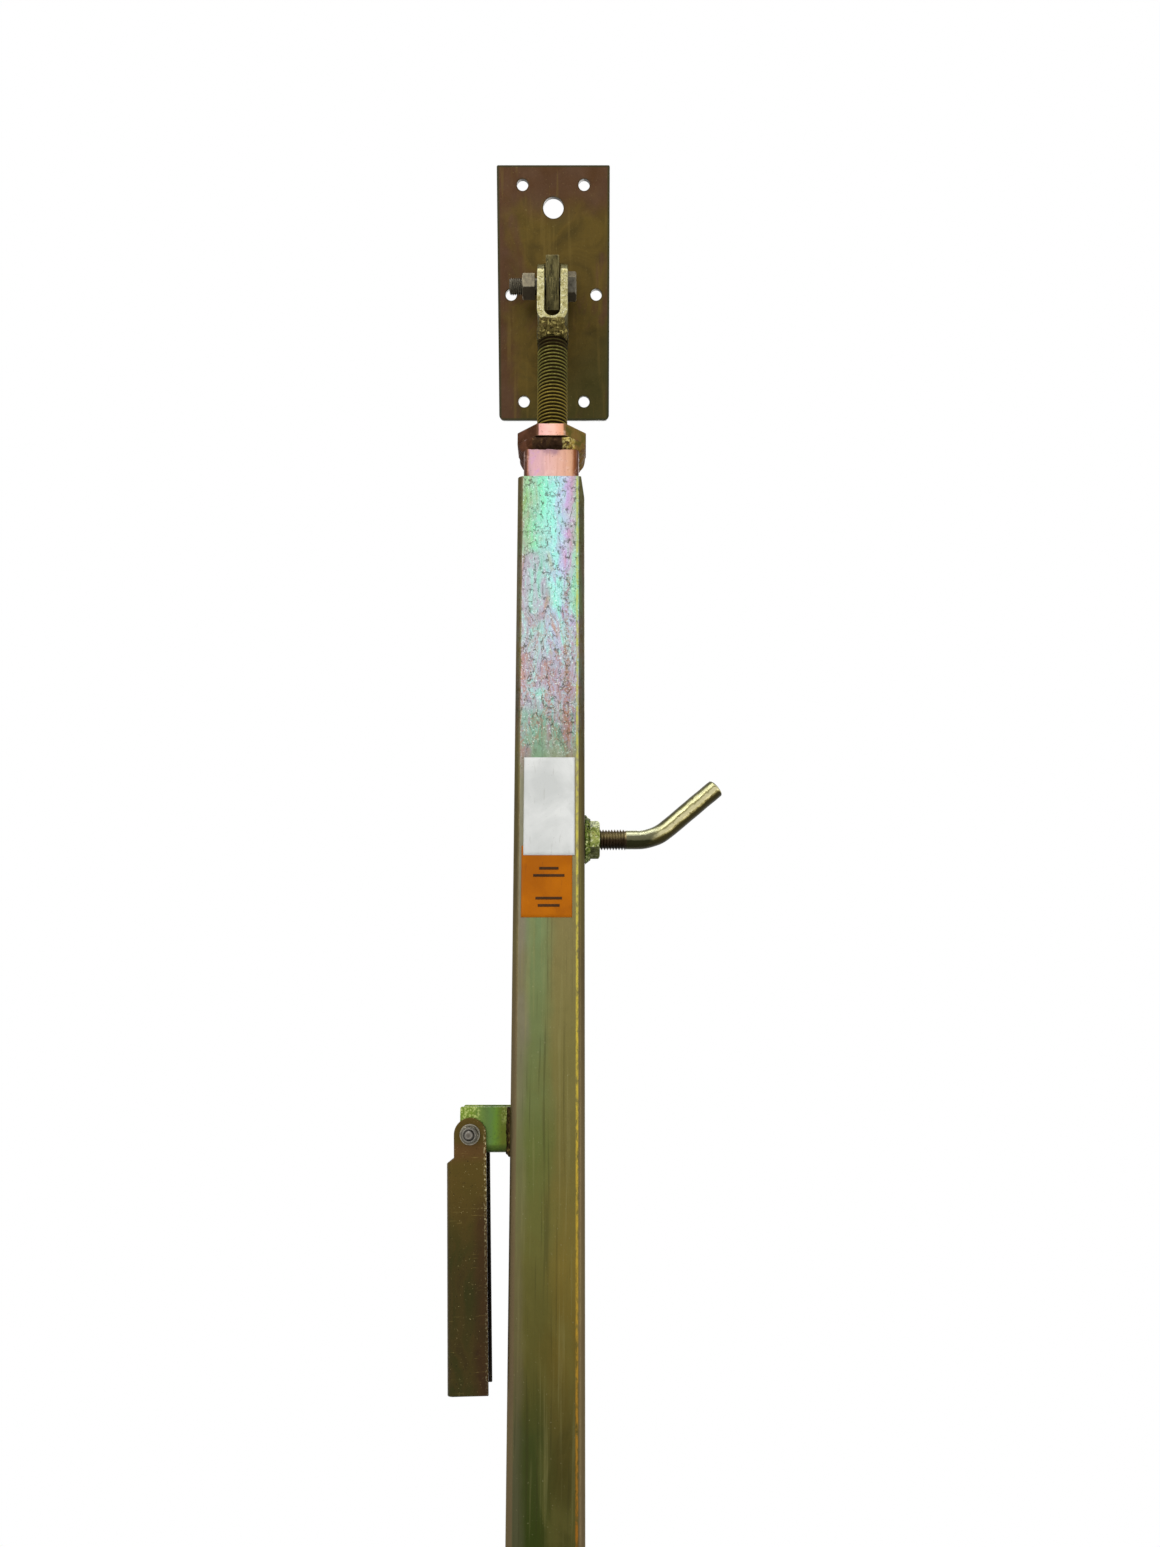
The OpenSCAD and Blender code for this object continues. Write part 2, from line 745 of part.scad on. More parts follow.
head_plate();
head_lug();
head_lug_weld();
head_fork();
head_fork_weld();
head_spindle();
head_pivot_bolt();
head_pivot_nut();
upper_nut();
upper_nut_weld();
inner_tube();
outer_tube();
lower_nut();
lower_nut_weld();
clamp_nut();
clamp_nut_weld();
clamp_screw();
handle_bracket();
handle_bracket_weld();
handle_bolt();
handle_nut();
handle_washers();
turning_handle();
foot_spindle();
foot_fork();
foot_fork_weld();
foot_pivot_bolt();
foot_pivot_nut();
foot_plate();
foot_lug();
foot_lug_weld();
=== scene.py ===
import json
import math

import bmesh
import bpy
from mathutils import Matrix, Vector, noise


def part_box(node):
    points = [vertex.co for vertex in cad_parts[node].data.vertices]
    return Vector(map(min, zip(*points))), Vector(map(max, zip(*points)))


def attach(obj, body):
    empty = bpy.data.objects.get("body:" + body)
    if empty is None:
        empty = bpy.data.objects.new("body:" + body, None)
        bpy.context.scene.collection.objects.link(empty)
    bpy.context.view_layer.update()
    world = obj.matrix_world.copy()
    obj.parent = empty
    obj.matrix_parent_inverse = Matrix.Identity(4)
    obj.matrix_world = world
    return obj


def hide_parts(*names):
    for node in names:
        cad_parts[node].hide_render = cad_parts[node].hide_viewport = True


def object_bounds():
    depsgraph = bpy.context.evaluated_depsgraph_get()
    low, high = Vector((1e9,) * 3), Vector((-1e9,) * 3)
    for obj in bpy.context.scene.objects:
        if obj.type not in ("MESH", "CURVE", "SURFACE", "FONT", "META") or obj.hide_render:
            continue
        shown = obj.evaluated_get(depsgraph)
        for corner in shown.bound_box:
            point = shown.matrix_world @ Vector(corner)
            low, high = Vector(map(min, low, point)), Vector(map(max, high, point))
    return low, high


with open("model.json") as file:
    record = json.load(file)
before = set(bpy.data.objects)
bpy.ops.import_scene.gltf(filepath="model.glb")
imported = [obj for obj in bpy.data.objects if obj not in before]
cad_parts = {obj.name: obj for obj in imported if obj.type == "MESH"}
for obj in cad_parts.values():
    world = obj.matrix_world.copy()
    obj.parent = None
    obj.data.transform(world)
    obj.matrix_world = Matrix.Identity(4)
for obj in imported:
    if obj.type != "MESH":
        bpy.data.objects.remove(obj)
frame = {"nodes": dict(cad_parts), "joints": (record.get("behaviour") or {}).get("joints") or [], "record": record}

cad_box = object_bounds()

# ---- Sizes of the detail that the CAD leaves out, in metres and radians ----

MM = 0.001
MERGE = 0.001 * MM
SHARP_ANGLE = math.radians(28)
FLAT_ANGLE = math.radians(0.4)
HANDLE_LEAN = math.radians(1.5)

THREAD_AROUND = 48
THREAD_PER_TURN = 8
CREST_FLAT, FLANK = 0.15, 0.6  # shares of half a pitch
SPINDLE_PITCH = 25.4 / 7 * MM
SPINDLE_THREAD = 1.9 * MM
SPINDLE_CHAMFER = 2 * MM
BOLT_RADIUS = 8 * MM
BOLT_PITCH = 2 * MM
BOLT_THREAD = 1.1 * MM
BOLT_CHAMFER = 1.5 * MM
SMALL_BOLT_RADIUS = 4 * MM
SMALL_BOLT_PITCH = 1.25 * MM
SMALL_BOLT_THREAD = 0.7 * MM

CLAMP_THREAD_RADIUS = 9 * MM
CLAMP_THREAD = 1.5 * MM
CLAMP_PITCH = 2.5 * MM
CLAMP_CHAMFER = 1.2 * MM
CLAMP_RADIUS = 8.2 * MM
CLAMP_AROUND = 40
CLAMP_STEPS = 20
CLAMP_THREAD_END = 36 * MM
CLAMP_OVERLAP = 2 * MM
CLAMP_SHOULDER = 2.2 * MM
CLAMP_STRAIGHT_END = 45.44 * MM
CLAMP_BEND_RADIUS = 40 * MM
CLAMP_BEND = math.radians(40)
CLAMP_ARM = 57.3 * MM
CLAMP_TIP = ((1.5, 0), (0.9, 0.3), (0.4, 0.8), (0.1, 1.3), (0, 1.9))  # mm back, and mm less radius
CLAMP_INSET = 0.1 * MM
DENT, DENT_SIZE = 0.18 * MM, 9 * MM

FORK_BEND_DROP = 36.1 * MM
FORK_ARC_RADIUS = 11 * MM
FORK_PAD = 0.7  # half the pads' width, as a share of the arc's radius
STRAP_HALF = 20 * MM
NUT_WELD_AROUND = 96
RIPPLE_HEIGHT, RIPPLE_SIZE = 0.3, 0.4  # shares of a weld's lumps

LABEL_THICK = 0.25 * MM
LABEL_CREASE, CREASE_SIZE = 0.12 * MM, 9 * MM
LABEL_COLUMNS, LABEL_LEAST_ROWS = 24, 6
LABEL_ROW = 3 * MM
BAR_HEIGHT = 2.2  # mm
BARS = ((354, 16), (360, 26), (379, 22), (385, 18))  # mm down the tube, and mm of width

FLOOR_PALE, FLOOR_WHITE, FLOOR_RADIUS = 0.5, 1.9, 2.0
FLOOR_AROUND = 96
FLOOR_GAP = 0.3 * MM
CAMERA_DISTANCE = 1.05
CAMERA_DROP = 0.7135
CAMERA_ASIDE = 0.026
CAMERA_TILT = math.radians(90 + 12.6)

# ---- Places and directions, all from the frame ----

X, Y, Z = Vector((1, 0, 0)), Vector((0, 1, 0)), Vector((0, 0, 1))
ORIGIN = Vector((0, 0, 0))

record = frame["record"]
joints = {joint["name"]: joint for joint in frame["joints"]}
mounts = {mount["name"]: mount for mount in record["mounts"]}
slot_of = {part["node"]: part["material_slot"] for part in record["subparts"]}
body_of = {node: body for body, nodes in record["behaviour"]["bodies"].items() for node in nodes}

head_pivot = Vector(joints["head_pivot"]["pos_m"])
foot_pivot = Vector(joints["foot_pivot"]["pos_m"])
handle_pivot = Vector(joints["handle_swing"]["pos_m"])
tube_low, tube_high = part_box("outer_tube")
inner_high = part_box("inner_tube")[1]
clamp_mouth = Vector((tube_high.x, head_pivot.y, joints["clamp_turn"]["pos_m"][2]))


def on_axis(height):
    return Vector((0, head_pivot.y, height))


def frame_at(origin, along_x=X, along_y=Y, along_z=Z):
    """The matrix that takes a point of the row to a piece's own axes."""
    own = Matrix((along_x, along_y, along_z)).transposed().to_4x4()
    own.translation = origin
    return own.inverted()


def plate_frame(mount):
    """Across the plate, along it, and out of its bearing face."""
    normal = Vector(mounts[mount]["axis"])
    return frame_at(Vector(mounts[mount]["pos_m"]), X, X.cross(normal), normal)


HANDLE_AXES = [Matrix.Rotation(-HANDLE_LEAN, 3, "Y") @ axis for axis in (X, Y, Z)]
PLATE_PARTS = ("plate", "lug", "lug_weld")
PIVOT_PARTS = ("fork", "fork_weld", "spindle", "pivot_bolt", "pivot_nut")
FRAMED = (
    (plate_frame("wall_face"), "head", PLATE_PARTS),
    (plate_frame("ground_face"), "foot", PLATE_PARTS),
    (frame_at(head_pivot), "head", PIVOT_PARTS),
    (frame_at(foot_pivot, along_z=-Z), "foot", PIVOT_PARTS),
    (frame_at(on_axis(inner_high.z)), "inner", ("tube",)),
    (frame_at(on_axis(inner_high.z)), "upper", ("nut", "nut_weld")),
    (frame_at(on_axis(tube_high.z)), "outer", ("tube",)),
    (frame_at(on_axis(tube_low.z), along_z=-Z), "lower", ("nut", "nut_weld")),
    (frame_at(clamp_mouth), "clamp", ("nut", "nut_weld", "screw")),
    (frame_at(handle_pivot), "handle", ("bracket", "bracket_weld", "bolt", "nut", "washers")),
    (frame_at(handle_pivot, *HANDLE_AXES), "turning", ("handle",)),
)
OWN_FRAMES = {f"{place}_{part}": own_frame for own_frame, place, parts in FRAMED for part in parts}


# ---- Settings and objects ----

def set_all(thing, **settings):
    for key, value in settings.items():
        setattr(thing, key, value)


def add_object(name, data, **settings):
    """Puts an object in the scene."""
    made = bpy.data.objects.new(name, data)
    set_all(made, **settings)
    bpy.context.scene.collection.objects.link(made)
    return made


# ---- Node trees ----

def rgb(code):
    """A linear colour from an sRGB hex code such as 8a7a40."""
    parts = [int(code[i:i + 2], 16) / 255 for i in (0, 2, 4)]
    linear = [part / 12.92 if part <= 0.04045 else ((part + 0.055) / 1.055) ** 2.4 for part in parts]
    return (*linear, 1)


class Nodes:
    """A material's or world's node tree, emptied, and short words to fill it."""

    def __init__(self, owner):
        owner.use_nodes = True
        self.tree = owner.node_tree
        self.tree.nodes.clear()

    def node(self, kind, inputs=None, **settings):
        made = self.tree.nodes.new(kind)
        set_all(made, **settings)
        for key, value in (inputs or {}).items():
            self.feed(made.inputs[key], value)
        return made

    def feed(self, socket, value):
        if isinstance(value, bpy.types.NodeSocket):
            self.tree.links.new(value, socket)
        else:
            socket.default_value = value

    def math(self, operation, *inputs):
        return self.node("ShaderNodeMath", dict(enumerate(inputs)), operation=operation).outputs[0]

    def vector_math(self, operation, *inputs):
        return self.node("ShaderNodeVectorMath", dict(enumerate(inputs)), operation=operation).outputs


class Finish(Nodes):
    """A material with one Principled shader. Sizes and places are given in millimetres."""

    def __init__(self, name, metallic=0.0, specular=0.2, tint=None):
        self.material = bpy.data.materials.new(name)
        super().__init__(self.material)
        self.shader = self.node("ShaderNodeBsdfPrincipled",
                                {"Metallic": metallic, "Specular IOR Level": specular})
        if tint:
            self.feed(self.shader.inputs["Specular Tint"], rgb(tint))
        self.output = self.node("ShaderNodeOutputMaterial", {"Surface": self.shader.outputs["BSDF"]})
        self.own = self.node("ShaderNodeAttribute", attribute_name="own").outputs["Vector"]
        self.x, self.y, self.z = self.node("ShaderNodeSeparateXYZ", {0: self.own}).outputs
        facing = self.node("ShaderNodeTexCoord").outputs["Normal"]
        self.facing_x, self.facing_y, self.facing_z = self.node("ShaderNodeSeparateXYZ", {0: facing}).outputs

    def wrap(self):
        """Takes y for x on the two sides, so that all four faces of a tube get the same bands."""
        side = self.math("GREATER_THAN", self.absolute(self.facing_x), math.sqrt(0.5))
        self.x = self.math("MULTIPLY_ADD", self.math("SUBTRACT", self.y, self.x), side, self.x)

    def absolute(self, value):
        return self.math("ABSOLUTE", value)

    def larger(self, first, second):
        return self.math("MAXIMUM", first, second)

    def product(self, first, *others):
        for other in others:
            first = self.math("MULTIPLY", first, other)
        return first

    def radius(self, first, second):
        """Distance from an axis, from two coordinates across it."""
        return self.math("SQRT", self.math("ADD", self.product(first, first), self.product(second, second)))

    def stretch(self, x, y, z):
        """The piece's own coordinates, squeezed or drawn out along each axis."""
        return self.vector_math("MULTIPLY", self.own, (x, y, z))[0]

    def clouds(self, size, at=None, detail=4.0, rough=0.55, warp=0.0, output="Fac"):
        """Noise from 0 to 1 whose lumps are about size across."""
        return self.node("ShaderNodeTexNoise", {
            "Vector": at or self.own, "Scale": 1 / (size * MM), "Detail": detail,
            "Roughness": rough, "Distortion": warp}).outputs[output]

    def stirred(self, at, size, reach):
        """Coordinates pushed about by reach, in lumps about size across."""
        lumps = self.clouds(size, detail=3.0, rough=0.5, output="Color")
        centred = self.vector_math("SUBTRACT", lumps, (0.5, 0.5, 0.5))[0]
        return self.vector_math("MULTIPLY_ADD", centred, (2 * reach * MM,) * 3, at)[0]

    def cell_edges(self, size, at):
        """Distance to the nearest edge between cells about size across."""
        return self.node("ShaderNodeTexVoronoi", {"Vector": at, "Scale": 1 / (size * MM)},
                         feature="DISTANCE_TO_EDGE").outputs["Distance"]

    def rise(self, value, low, high, bottom=0.0, top=1.0):
        """bottom up to low, top from high on, and smooth between, in the value's own unit."""
        return self.node("ShaderNodeMapRange", {
            "Value": value, "From Min": low, "From Max": high, "To Min": bottom, "To Max": top},
            interpolation_type="SMOOTHSTEP").outputs["Result"]

    def slope(self, value, low, high, bottom=0.0, top=1.0):
        """The same for a value in metres, between two places in millimetres."""
        return self.rise(value, low * MM, high * MM, bottom, top)

    def band(self, value, start, full, waning, end):
        """1 from full to waning, and 0 before start and after end."""
        return self.product(self.slope(value, start, full), self.slope(value, end, waning))

    def near(self, value, place, full, end):
        """1 within full of a place, and 0 beyond end from it."""
        return self.slope(self.absolute(self.math("SUBTRACT", value, place * MM)), end, full)

    def spread(self, value, reach):
        """Turns noise from 0 to 1 into a shift from -reach to reach, in the reach's own unit."""
        return self.product(self.math("SUBTRACT", value, 0.5), 2 * reach)

    def sway(self, size, reach, **look):
        """A shift of up to reach either way, in lumps about size across."""
        return self.spread(self.clouds(size, **look), reach * MM)

    def swayed(self, value, size, reach, **look):
        return self.math("ADD", value, self.sway(size, reach, **look))

    def patches(self, size, low, high, **look):
        """1 where noise is above high and 0 where it is below low, or the reverse if high is less."""
        return self.rise(self.clouds(size, **look), low, high)

    def specks(self, size, share):
        """Small spots, 1 inside and 0 outside; the larger the share, the more of them."""
        return self.patches(size, 0.72 - share, 0.76 - share, detail=2.0, rough=0.7)

    def ramp(self, value, *stops):
        """A colour ramp; each stop is a place and a hex code."""
        made = self.node("ShaderNodeValToRGB", {"Fac": value})
        elements = made.color_ramp.elements
        elements.remove(elements[1])
        for index, (place, code) in enumerate(stops):
            element = elements[0] if index == 0 else elements.new(place)
            element.position = place
            element.color = rgb(code)
        return made.outputs["Color"]

    def tones(self, size, *stops, **look):
        """Colours in clouds about size across."""
        return self.ramp(self.clouds(size, **look), *stops)

    def across(self, half_width, wander, *stops):
        """A ramp across a piece from left to right, its borders moved about by wander."""
        moved = self.swayed(self.x, 22, wander, warp=0.6)
        return self.ramp(self.math("MULTIPLY_ADD", moved, 0.5 / (half_width * MM), 0.5), *stops)

    def mix(self, share, under, over):
        """Two colours mixed; 0, 6 and 7 are the node's factor and its colour sockets."""
        made = self.node("ShaderNodeMix", data_type="RGBA")
        for index, value in ((0, share), (6, under), (7, over)):
            self.feed(made.inputs[index], rgb(value) if isinstance(value, str) else value)
        return made.outputs[2]

    def coats(self, base, *coats):
        """Colours laid over the base one after another; each is a mask, a colour and its share."""
        for mask, colour, share in coats:
            base = self.mix(self.product(mask, share), base, colour)
        return base

    def edges(self, width):
        """1 within about width of an edge of the piece, and 0 on its flats."""
        rounded = self.node("ShaderNodeBevel", {"Radius": width * MM}, samples=4).outputs[0]
        true = self.node("ShaderNodeNewGeometry").outputs["Normal"]
        return self.rise(self.vector_math("DOT_PRODUCT", rounded, true)["Value"], 0.995, 0.9)

    def roughness(self, value, smooth, rough):
        return self.rise(value, 0.3, 0.7, smooth, rough)

    def done(self, colour, rough, *heights):
        """Feeds the shader; each height is a value and how much relief it gives."""
        normal = {}
        for value, relief in heights:
            inputs = {"Height": value, "Strength": 1.0, "Distance": relief * MM, **normal}
            normal = {"Normal": self.node("ShaderNodeBump", inputs).outputs["Normal"]}
        for name, value in {"Base Color": colour, "Roughness": rough, **normal}.items():
            self.feed(self.shader.inputs[name], value)
        return self.material

    def grained(self, colour, size, smooth, rough, relief, *heights):
        """Feeds the shader with a fine grain that sets the roughness and the last height."""
        grain = self.clouds(size, detail=3.0)
        return self.done(colour, self.roughness(grain, smooth, rough), *heights, (grain, relief))


# ---- Finishes ----

def plate_finish():
    """Dark olive-brown chromate with reddish patches, greener to the lower right, painted shade round holes."""
    finish = Finish("end_plate_chromate", 0.6)
    drift = finish.sway(40, 25, warp=0.6)
    right = finish.math("ADD", finish.x, drift)
    low_right = finish.slope(finish.math("SUBTRACT", right, finish.y), 40, 130)
    left = finish.slope(finish.math("SUBTRACT", drift, finish.x), 30, 52)
    top = finish.slope(finish.math("ADD", finish.y, drift), 62, 100)
    patch = finish.patches(38, 0.52, 0.64, at=finish.stretch(1, 0.5, 1), warp=1.0)
    red = finish.larger(finish.larger(left, top), finish.product(patch, 0.8))
    streak = finish.clouds(5, at=finish.stretch(1, 0.06, 1), detail=3.0)
    outline = finish.larger(finish.slope(finish.absolute(finish.x), 52, 53.6),
                            finish.slope(finish.absolute(finish.y), 117.4, 118.8))
    base = finish.coats(
        finish.tones(48, (0.3, "463815"), (0.48, "5a481b"), (0.62, "50421b"), (0.76, "604e22"), warp=0.8),
        (low_right, finish.tones(18, (0.3, "3c3a18"), (0.7, "494320")), 0.8),
        (red, finish.tones(22, (0.3, "4a2b1c"), (0.7, "553a2f")), 0.75),
        (finish.rise(streak, 0.54, 0.7), "6b5828", 0.35),
        (finish.specks(1.5, 0.03), "8b7c4c", 0.5),
        (finish.specks(1.2, 0.05), "2c2410", 0.7),
        # Painted shade: dark hole walls and plate sides, and darker rims round the holes and along the outline.
        (finish.near(finish.z, -4, 3.2, 3.9), "2c2c20", 0.85),
        (outline, "34371f", 0.75),
        (finish.edges(3), "2e2c1a", 0.7),
        (finish.product(finish.edges(1.2), finish.patches(6, 0.56, 0.7)), "7a7050", 0.4))
    return finish.done(base, finish.roughness(finish.clouds(12), 0.34, 0.5), (finish.clouds(25), 0.7),
                       (streak, 0.06), (finish.clouds(1.1, detail=3.0), 0.03))


def lug_finish():
    """Dark olive with pale and dark tooling lines along the lug, and a paler rim."""
    finish = Finish("lug_chromate", 0.6)
    lines = finish.clouds(1.3, at=finish.stretch(1, 0.12, 0.12), detail=3.0, rough=0.7)
    base = finish.coats(
        finish.tones(9, (0.3, "38341a"), (0.55, "4a4426"), (0.75, "585030"), warp=0.5),
        (finish.rise(lines, 0.48, 0.62), "7c7248", 0.55),
        (finish.rise(lines, 0.46, 0.36), "241e0e", 0.8),
        (finish.specks(1.4, 0.08), "9a8f60", 0.6),
        (finish.edges(1.0), "8a7f5a", 0.5))
    return finish.done(base, finish.roughness(lines, 0.35, 0.52), (lines, 0.2))


def fork_finish():
    """Dark olive strap whose cut edges are pale gold, speckled where the chromate has rubbed off."""
    finish = Finish("fork_chromate", 0.55)
    broad = finish.tones(12, (0.3, "3c3818"), (0.5, "565026"), (0.72, "6e6634"), warp=0.8)
    cut = finish.coats(
        finish.tones(5, (0.28, "7e7540"), (0.44, "a59c66"), (0.58, "beb788"), (0.76, "94894e"), warp=0.8),
        (finish.patches(1.6, 0.53, 0.62, rough=0.8, detail=3.0), "544c26", 0.75),
        (finish.specks(1.3, 0.12), "e8e4c8", 0.7))
    strap = finish.mix(finish.slope(finish.absolute(finish.y), 18.6, 19.4), broad, cut)
    base = finish.coats(strap, (finish.specks(1.6, 0.1), "2a2612", 0.6))
    return finish.grained(base, 1.6, 0.3, 0.5, 0.15, (finish.clouds(6), 0.4))


def weld_finish(name, *stops, glint="a89a5c"):
    """Weld metal with painted shade in dark patches and painted glints in straw-coloured ones."""
    finish = Finish(name, 0.65, tint="8a8450")
    base = finish.coats(
        finish.tones(6, *stops, warp=1.0),
        # Painted shade in the dark patches, and painted glints in the pale ones.
        (finish.patches(2.2, 0.47, 0.38, warp=1.0), "161006", 0.85),
        (finish.patches(2.8, 0.54, 0.62, rough=0.7), glint, 0.8))
    return finish.grained(base, 1.5, 0.26, 0.46, 0.25)


def nut_sides(finish, brown_size, warm_size, right):
    """The brown of a spindle nut's sides, and a warmer one where right is 1."""
    brown = finish.tones(brown_size, (0.34, "442a1a"), (0.5, "523523"), (0.66, "5e3d2d"), warp=0.8)
    warm = finish.tones(warm_size, (0.34, "6a4e26"), (0.5, "7c6434"), (0.66, "5e5626"), warp=0.8)
    return finish.mix(right, brown, warm)


def nut_weld_finish():
    """Weld nearly black in front, partly painted shade, with golden painted glints at right, nut-brown sides."""
    finish = Finish("nut_weld_chromate", 0.65, tint="6a4a34")
    # Nearly black front: partly the weld's colour and partly painted shade under the nut.
    front = finish.tones(6, (0.3, "22160e"), (0.5, "34241a"), (0.7, "45331f"), warp=1.0)
    side = finish.slope(finish.swayed(finish.absolute(finish.x), 6, 3), 16.5, 19)
    # Painted glints: the golden lumps at the front's right.
    lumps = finish.product(finish.band(finish.x, 9, 12, 20, 22.5), finish.patches(3.5, 0.42, 0.56, rough=0.7))
    base = finish.coats(
        finish.mix(side, front, nut_sides(finish, 10, 10, finish.slope(finish.x, -4, 4))),
        (lumps, finish.tones(3, (0.4, "a58c3c"), (0.6, "d0c27e")), 0.9),
        (finish.specks(1.6, 0.05), "a87a50", 0.4))
    grain = finish.clouds(1.5, detail=3.0)
    rough = finish.larger(finish.roughness(grain, 0.26, 0.46), finish.product(side, 0.5))
    relief = finish.product(grain, finish.math("SUBTRACT", 1.0, side))
    return finish.done(base, rough, (relief, 0.2), (finish.clouds(9), 0.35))


def spindle_finish():
    """Green-gold thread with painted shade in its roots, and dark for the first rings below the neck."""
    finish = Finish("spindle_chromate", 0.65, tint="7a7440")
    flanks = finish.coats(
        finish.tones(14, (0.3, "56522a"), (0.5, "6a6532"), (0.65, "7c7438"), (0.78, "5e5626"), warp=0.6),
        (finish.patches(2.6, 0.52, 0.66), "948a50", 0.7),
        (finish.slope(finish.swayed(finish.z, 12, 14), -96, -122), "8c7834", 0.7))
    crest = finish.slope(finish.radius(finish.x, finish.y), 12.9, 14.1)
    wander = finish.product(finish.clouds(9), 8 * MM)
    neck = finish.slope(finish.math("ADD", finish.z, wander), -68, -64)
    # Painted shade: the thread's roots are darkened.
    base = finish.coats(finish.mix(crest, "251c0c", flanks), (neck, "22170e", 0.8))
    return finish.grained(base, 1.2, 0.42, 0.58, 0.12)


def dark_fastener_finish():
    """Dark blued steel, a painted highlight on its upper flats, painted shade below, rubbed corners."""
    finish = Finish("dark_steel", 0.75)
    radius = finish.radius(finish.y, finish.z)
    # Painted highlight: the upper flats are paler and brownish.
    lit_tops = finish.product(finish.rise(finish.facing_z, -0.3, -0.1), finish.slope(radius, 9, 10))
    base = finish.coats(
        finish.tones(6, (0.3, "403c32"), (0.5, "575348"), (0.7, "6b665a"), warp=0.6),
        (lit_tops, finish.tones(4, (0.35, "6c6454"), (0.6, "91886f")), 0.85),
        # Painted shade: the faces that look down are darker.
        (finish.rise(finish.facing_z, -0.6, -0.9), "3e3628", 0.85),
        (finish.slope(radius, 8.2, 6.9), "241e16", 0.6),
        (finish.edges(0.7), "a3987c", 0.5),
        (finish.specks(1.2, 0.08), "1c1712", 0.8))
    return finish.grained(base, 1.0, 0.28, 0.46, 0.08)


def bright_fastener_finish():
    """Dull grey zinc, palest on the washer, dark round the bolt end, painted shade on sides, rubbed edges."""
    finish = Finish("dull_zinc", 0.7)
    radius = finish.math("DIVIDE", finish.radius(finish.x, finish.z), 10 * MM)
    base = finish.coats(
        finish.ramp(radius, (0.1, "5c564e"), (0.3, "8a857c"), (0.36, "1e1a16"), (0.44, "2a2622"),
                    (0.48, "7a766c"), (0.6, "6a665c"), (0.64, "2e2a24"), (0.68, "76715f"), (0.78, "948e7e")),
        (finish.patches(3, 0.52, 0.66, warp=0.6), "5a564c", 0.5),
        (finish.specks(1.0, 0.1), "2a2620", 0.8),
        # Painted shade: faces that do not look along the bolt are darkened.
        (finish.rise(finish.absolute(finish.facing_y), 0.8, 0.5), "1e1a14", 0.85),
        (finish.edges(0.35), "a5a297", 0.6))
    return finish.grained(base, 1.0, 0.28, 0.46, 0.06)


def nut_finish():
    """Iridescent chromate, pink front, brown-red left, olive right; partly painted light and shade."""
    finish = Finish("spindle_nut_chromate", 0.6, tint="8a6a50")
    front = finish.coats(
        finish.across(13, 0.6, (0.04, "5a3c2c"), (0.085, "dca49c"), (0.3, "eeb6ac"), (0.6, "f0b8a6"),
                      (0.9, "dc9c78"), (0.955, "7a5c3a")),
        (finish.patches(6, 0.56, 0.72, rough=0.7), "f4ccbc", 0.5))
    # Painted light and shade: colour set by face direction, the pale front against darker sides, partly chromate
    # hue.
    sides = nut_sides(finish, 16, 12, finish.rise(finish.facing_x, 0.1, 0.5))
    base = finish.coats(
        finish.mix(finish.rise(finish.absolute(finish.facing_y), 0.8, 0.92), sides, front),
        (finish.patches(3, 0.58, 0.66, rough=0.7), "7a5a44", 0.4),
        (finish.specks(1.4, 0.06), "6a4632", 0.7),
        (finish.edges(0.8), "c9a884", 0.6))
    return finish.done(base, finish.roughness(finish.clouds(5), 0.3, 0.45),
                       (finish.clouds(9), 0.35), (finish.clouds(1.4, detail=3.0), 0.06))


def inner_tube_finish():
    """Pink and peach chromate, a duller left side, and painted shade in brown-red on the rounded corners."""
    finish = Finish("inner_tube_chromate", 0.6)
    finish.wrap()
    lilac = finish.product(finish.near(finish.x, -15, 2, 6), finish.patches(8, 0.48, 0.6, warp=0.8))
    stain = finish.product(finish.slope(finish.absolute(finish.x), 10, 4),
                           finish.slope(finish.swayed(finish.z, 5, 4), -18, -12))
    streak = finish.clouds(3, at=finish.stretch(1, 1, 0.06), detail=3.0)
    base = finish.coats(
        # Painted shade: the ramp's dark brown-red ends lie on the rounded corners.
        finish.across(25, 0.8, (0.02, "4a2a1c"), (0.08, "6a4434"), (0.11, "c29aa0"), (0.25, "cea2a6"),
                      (0.5, "d5a89e"), (0.86, "d09d7d"), (0.91, "8a5230"), (0.98, "502c1a")),
        (finish.patches(9, 0.54, 0.7, rough=0.7), "dcb8ab", 0.6),
        (lilac, "c494bc", 0.7),
        (stain, "84607c", 0.6),
        (finish.rise(streak, 0.58, 0.72), "b88474", 0.35),
        (finish.specks(1.2, 0.06), "5a3424", 0.7))
    return finish.done(base, finish.roughness(streak, 0.3, 0.46), (finish.clouds(30), 0.4), (streak, 0.05))


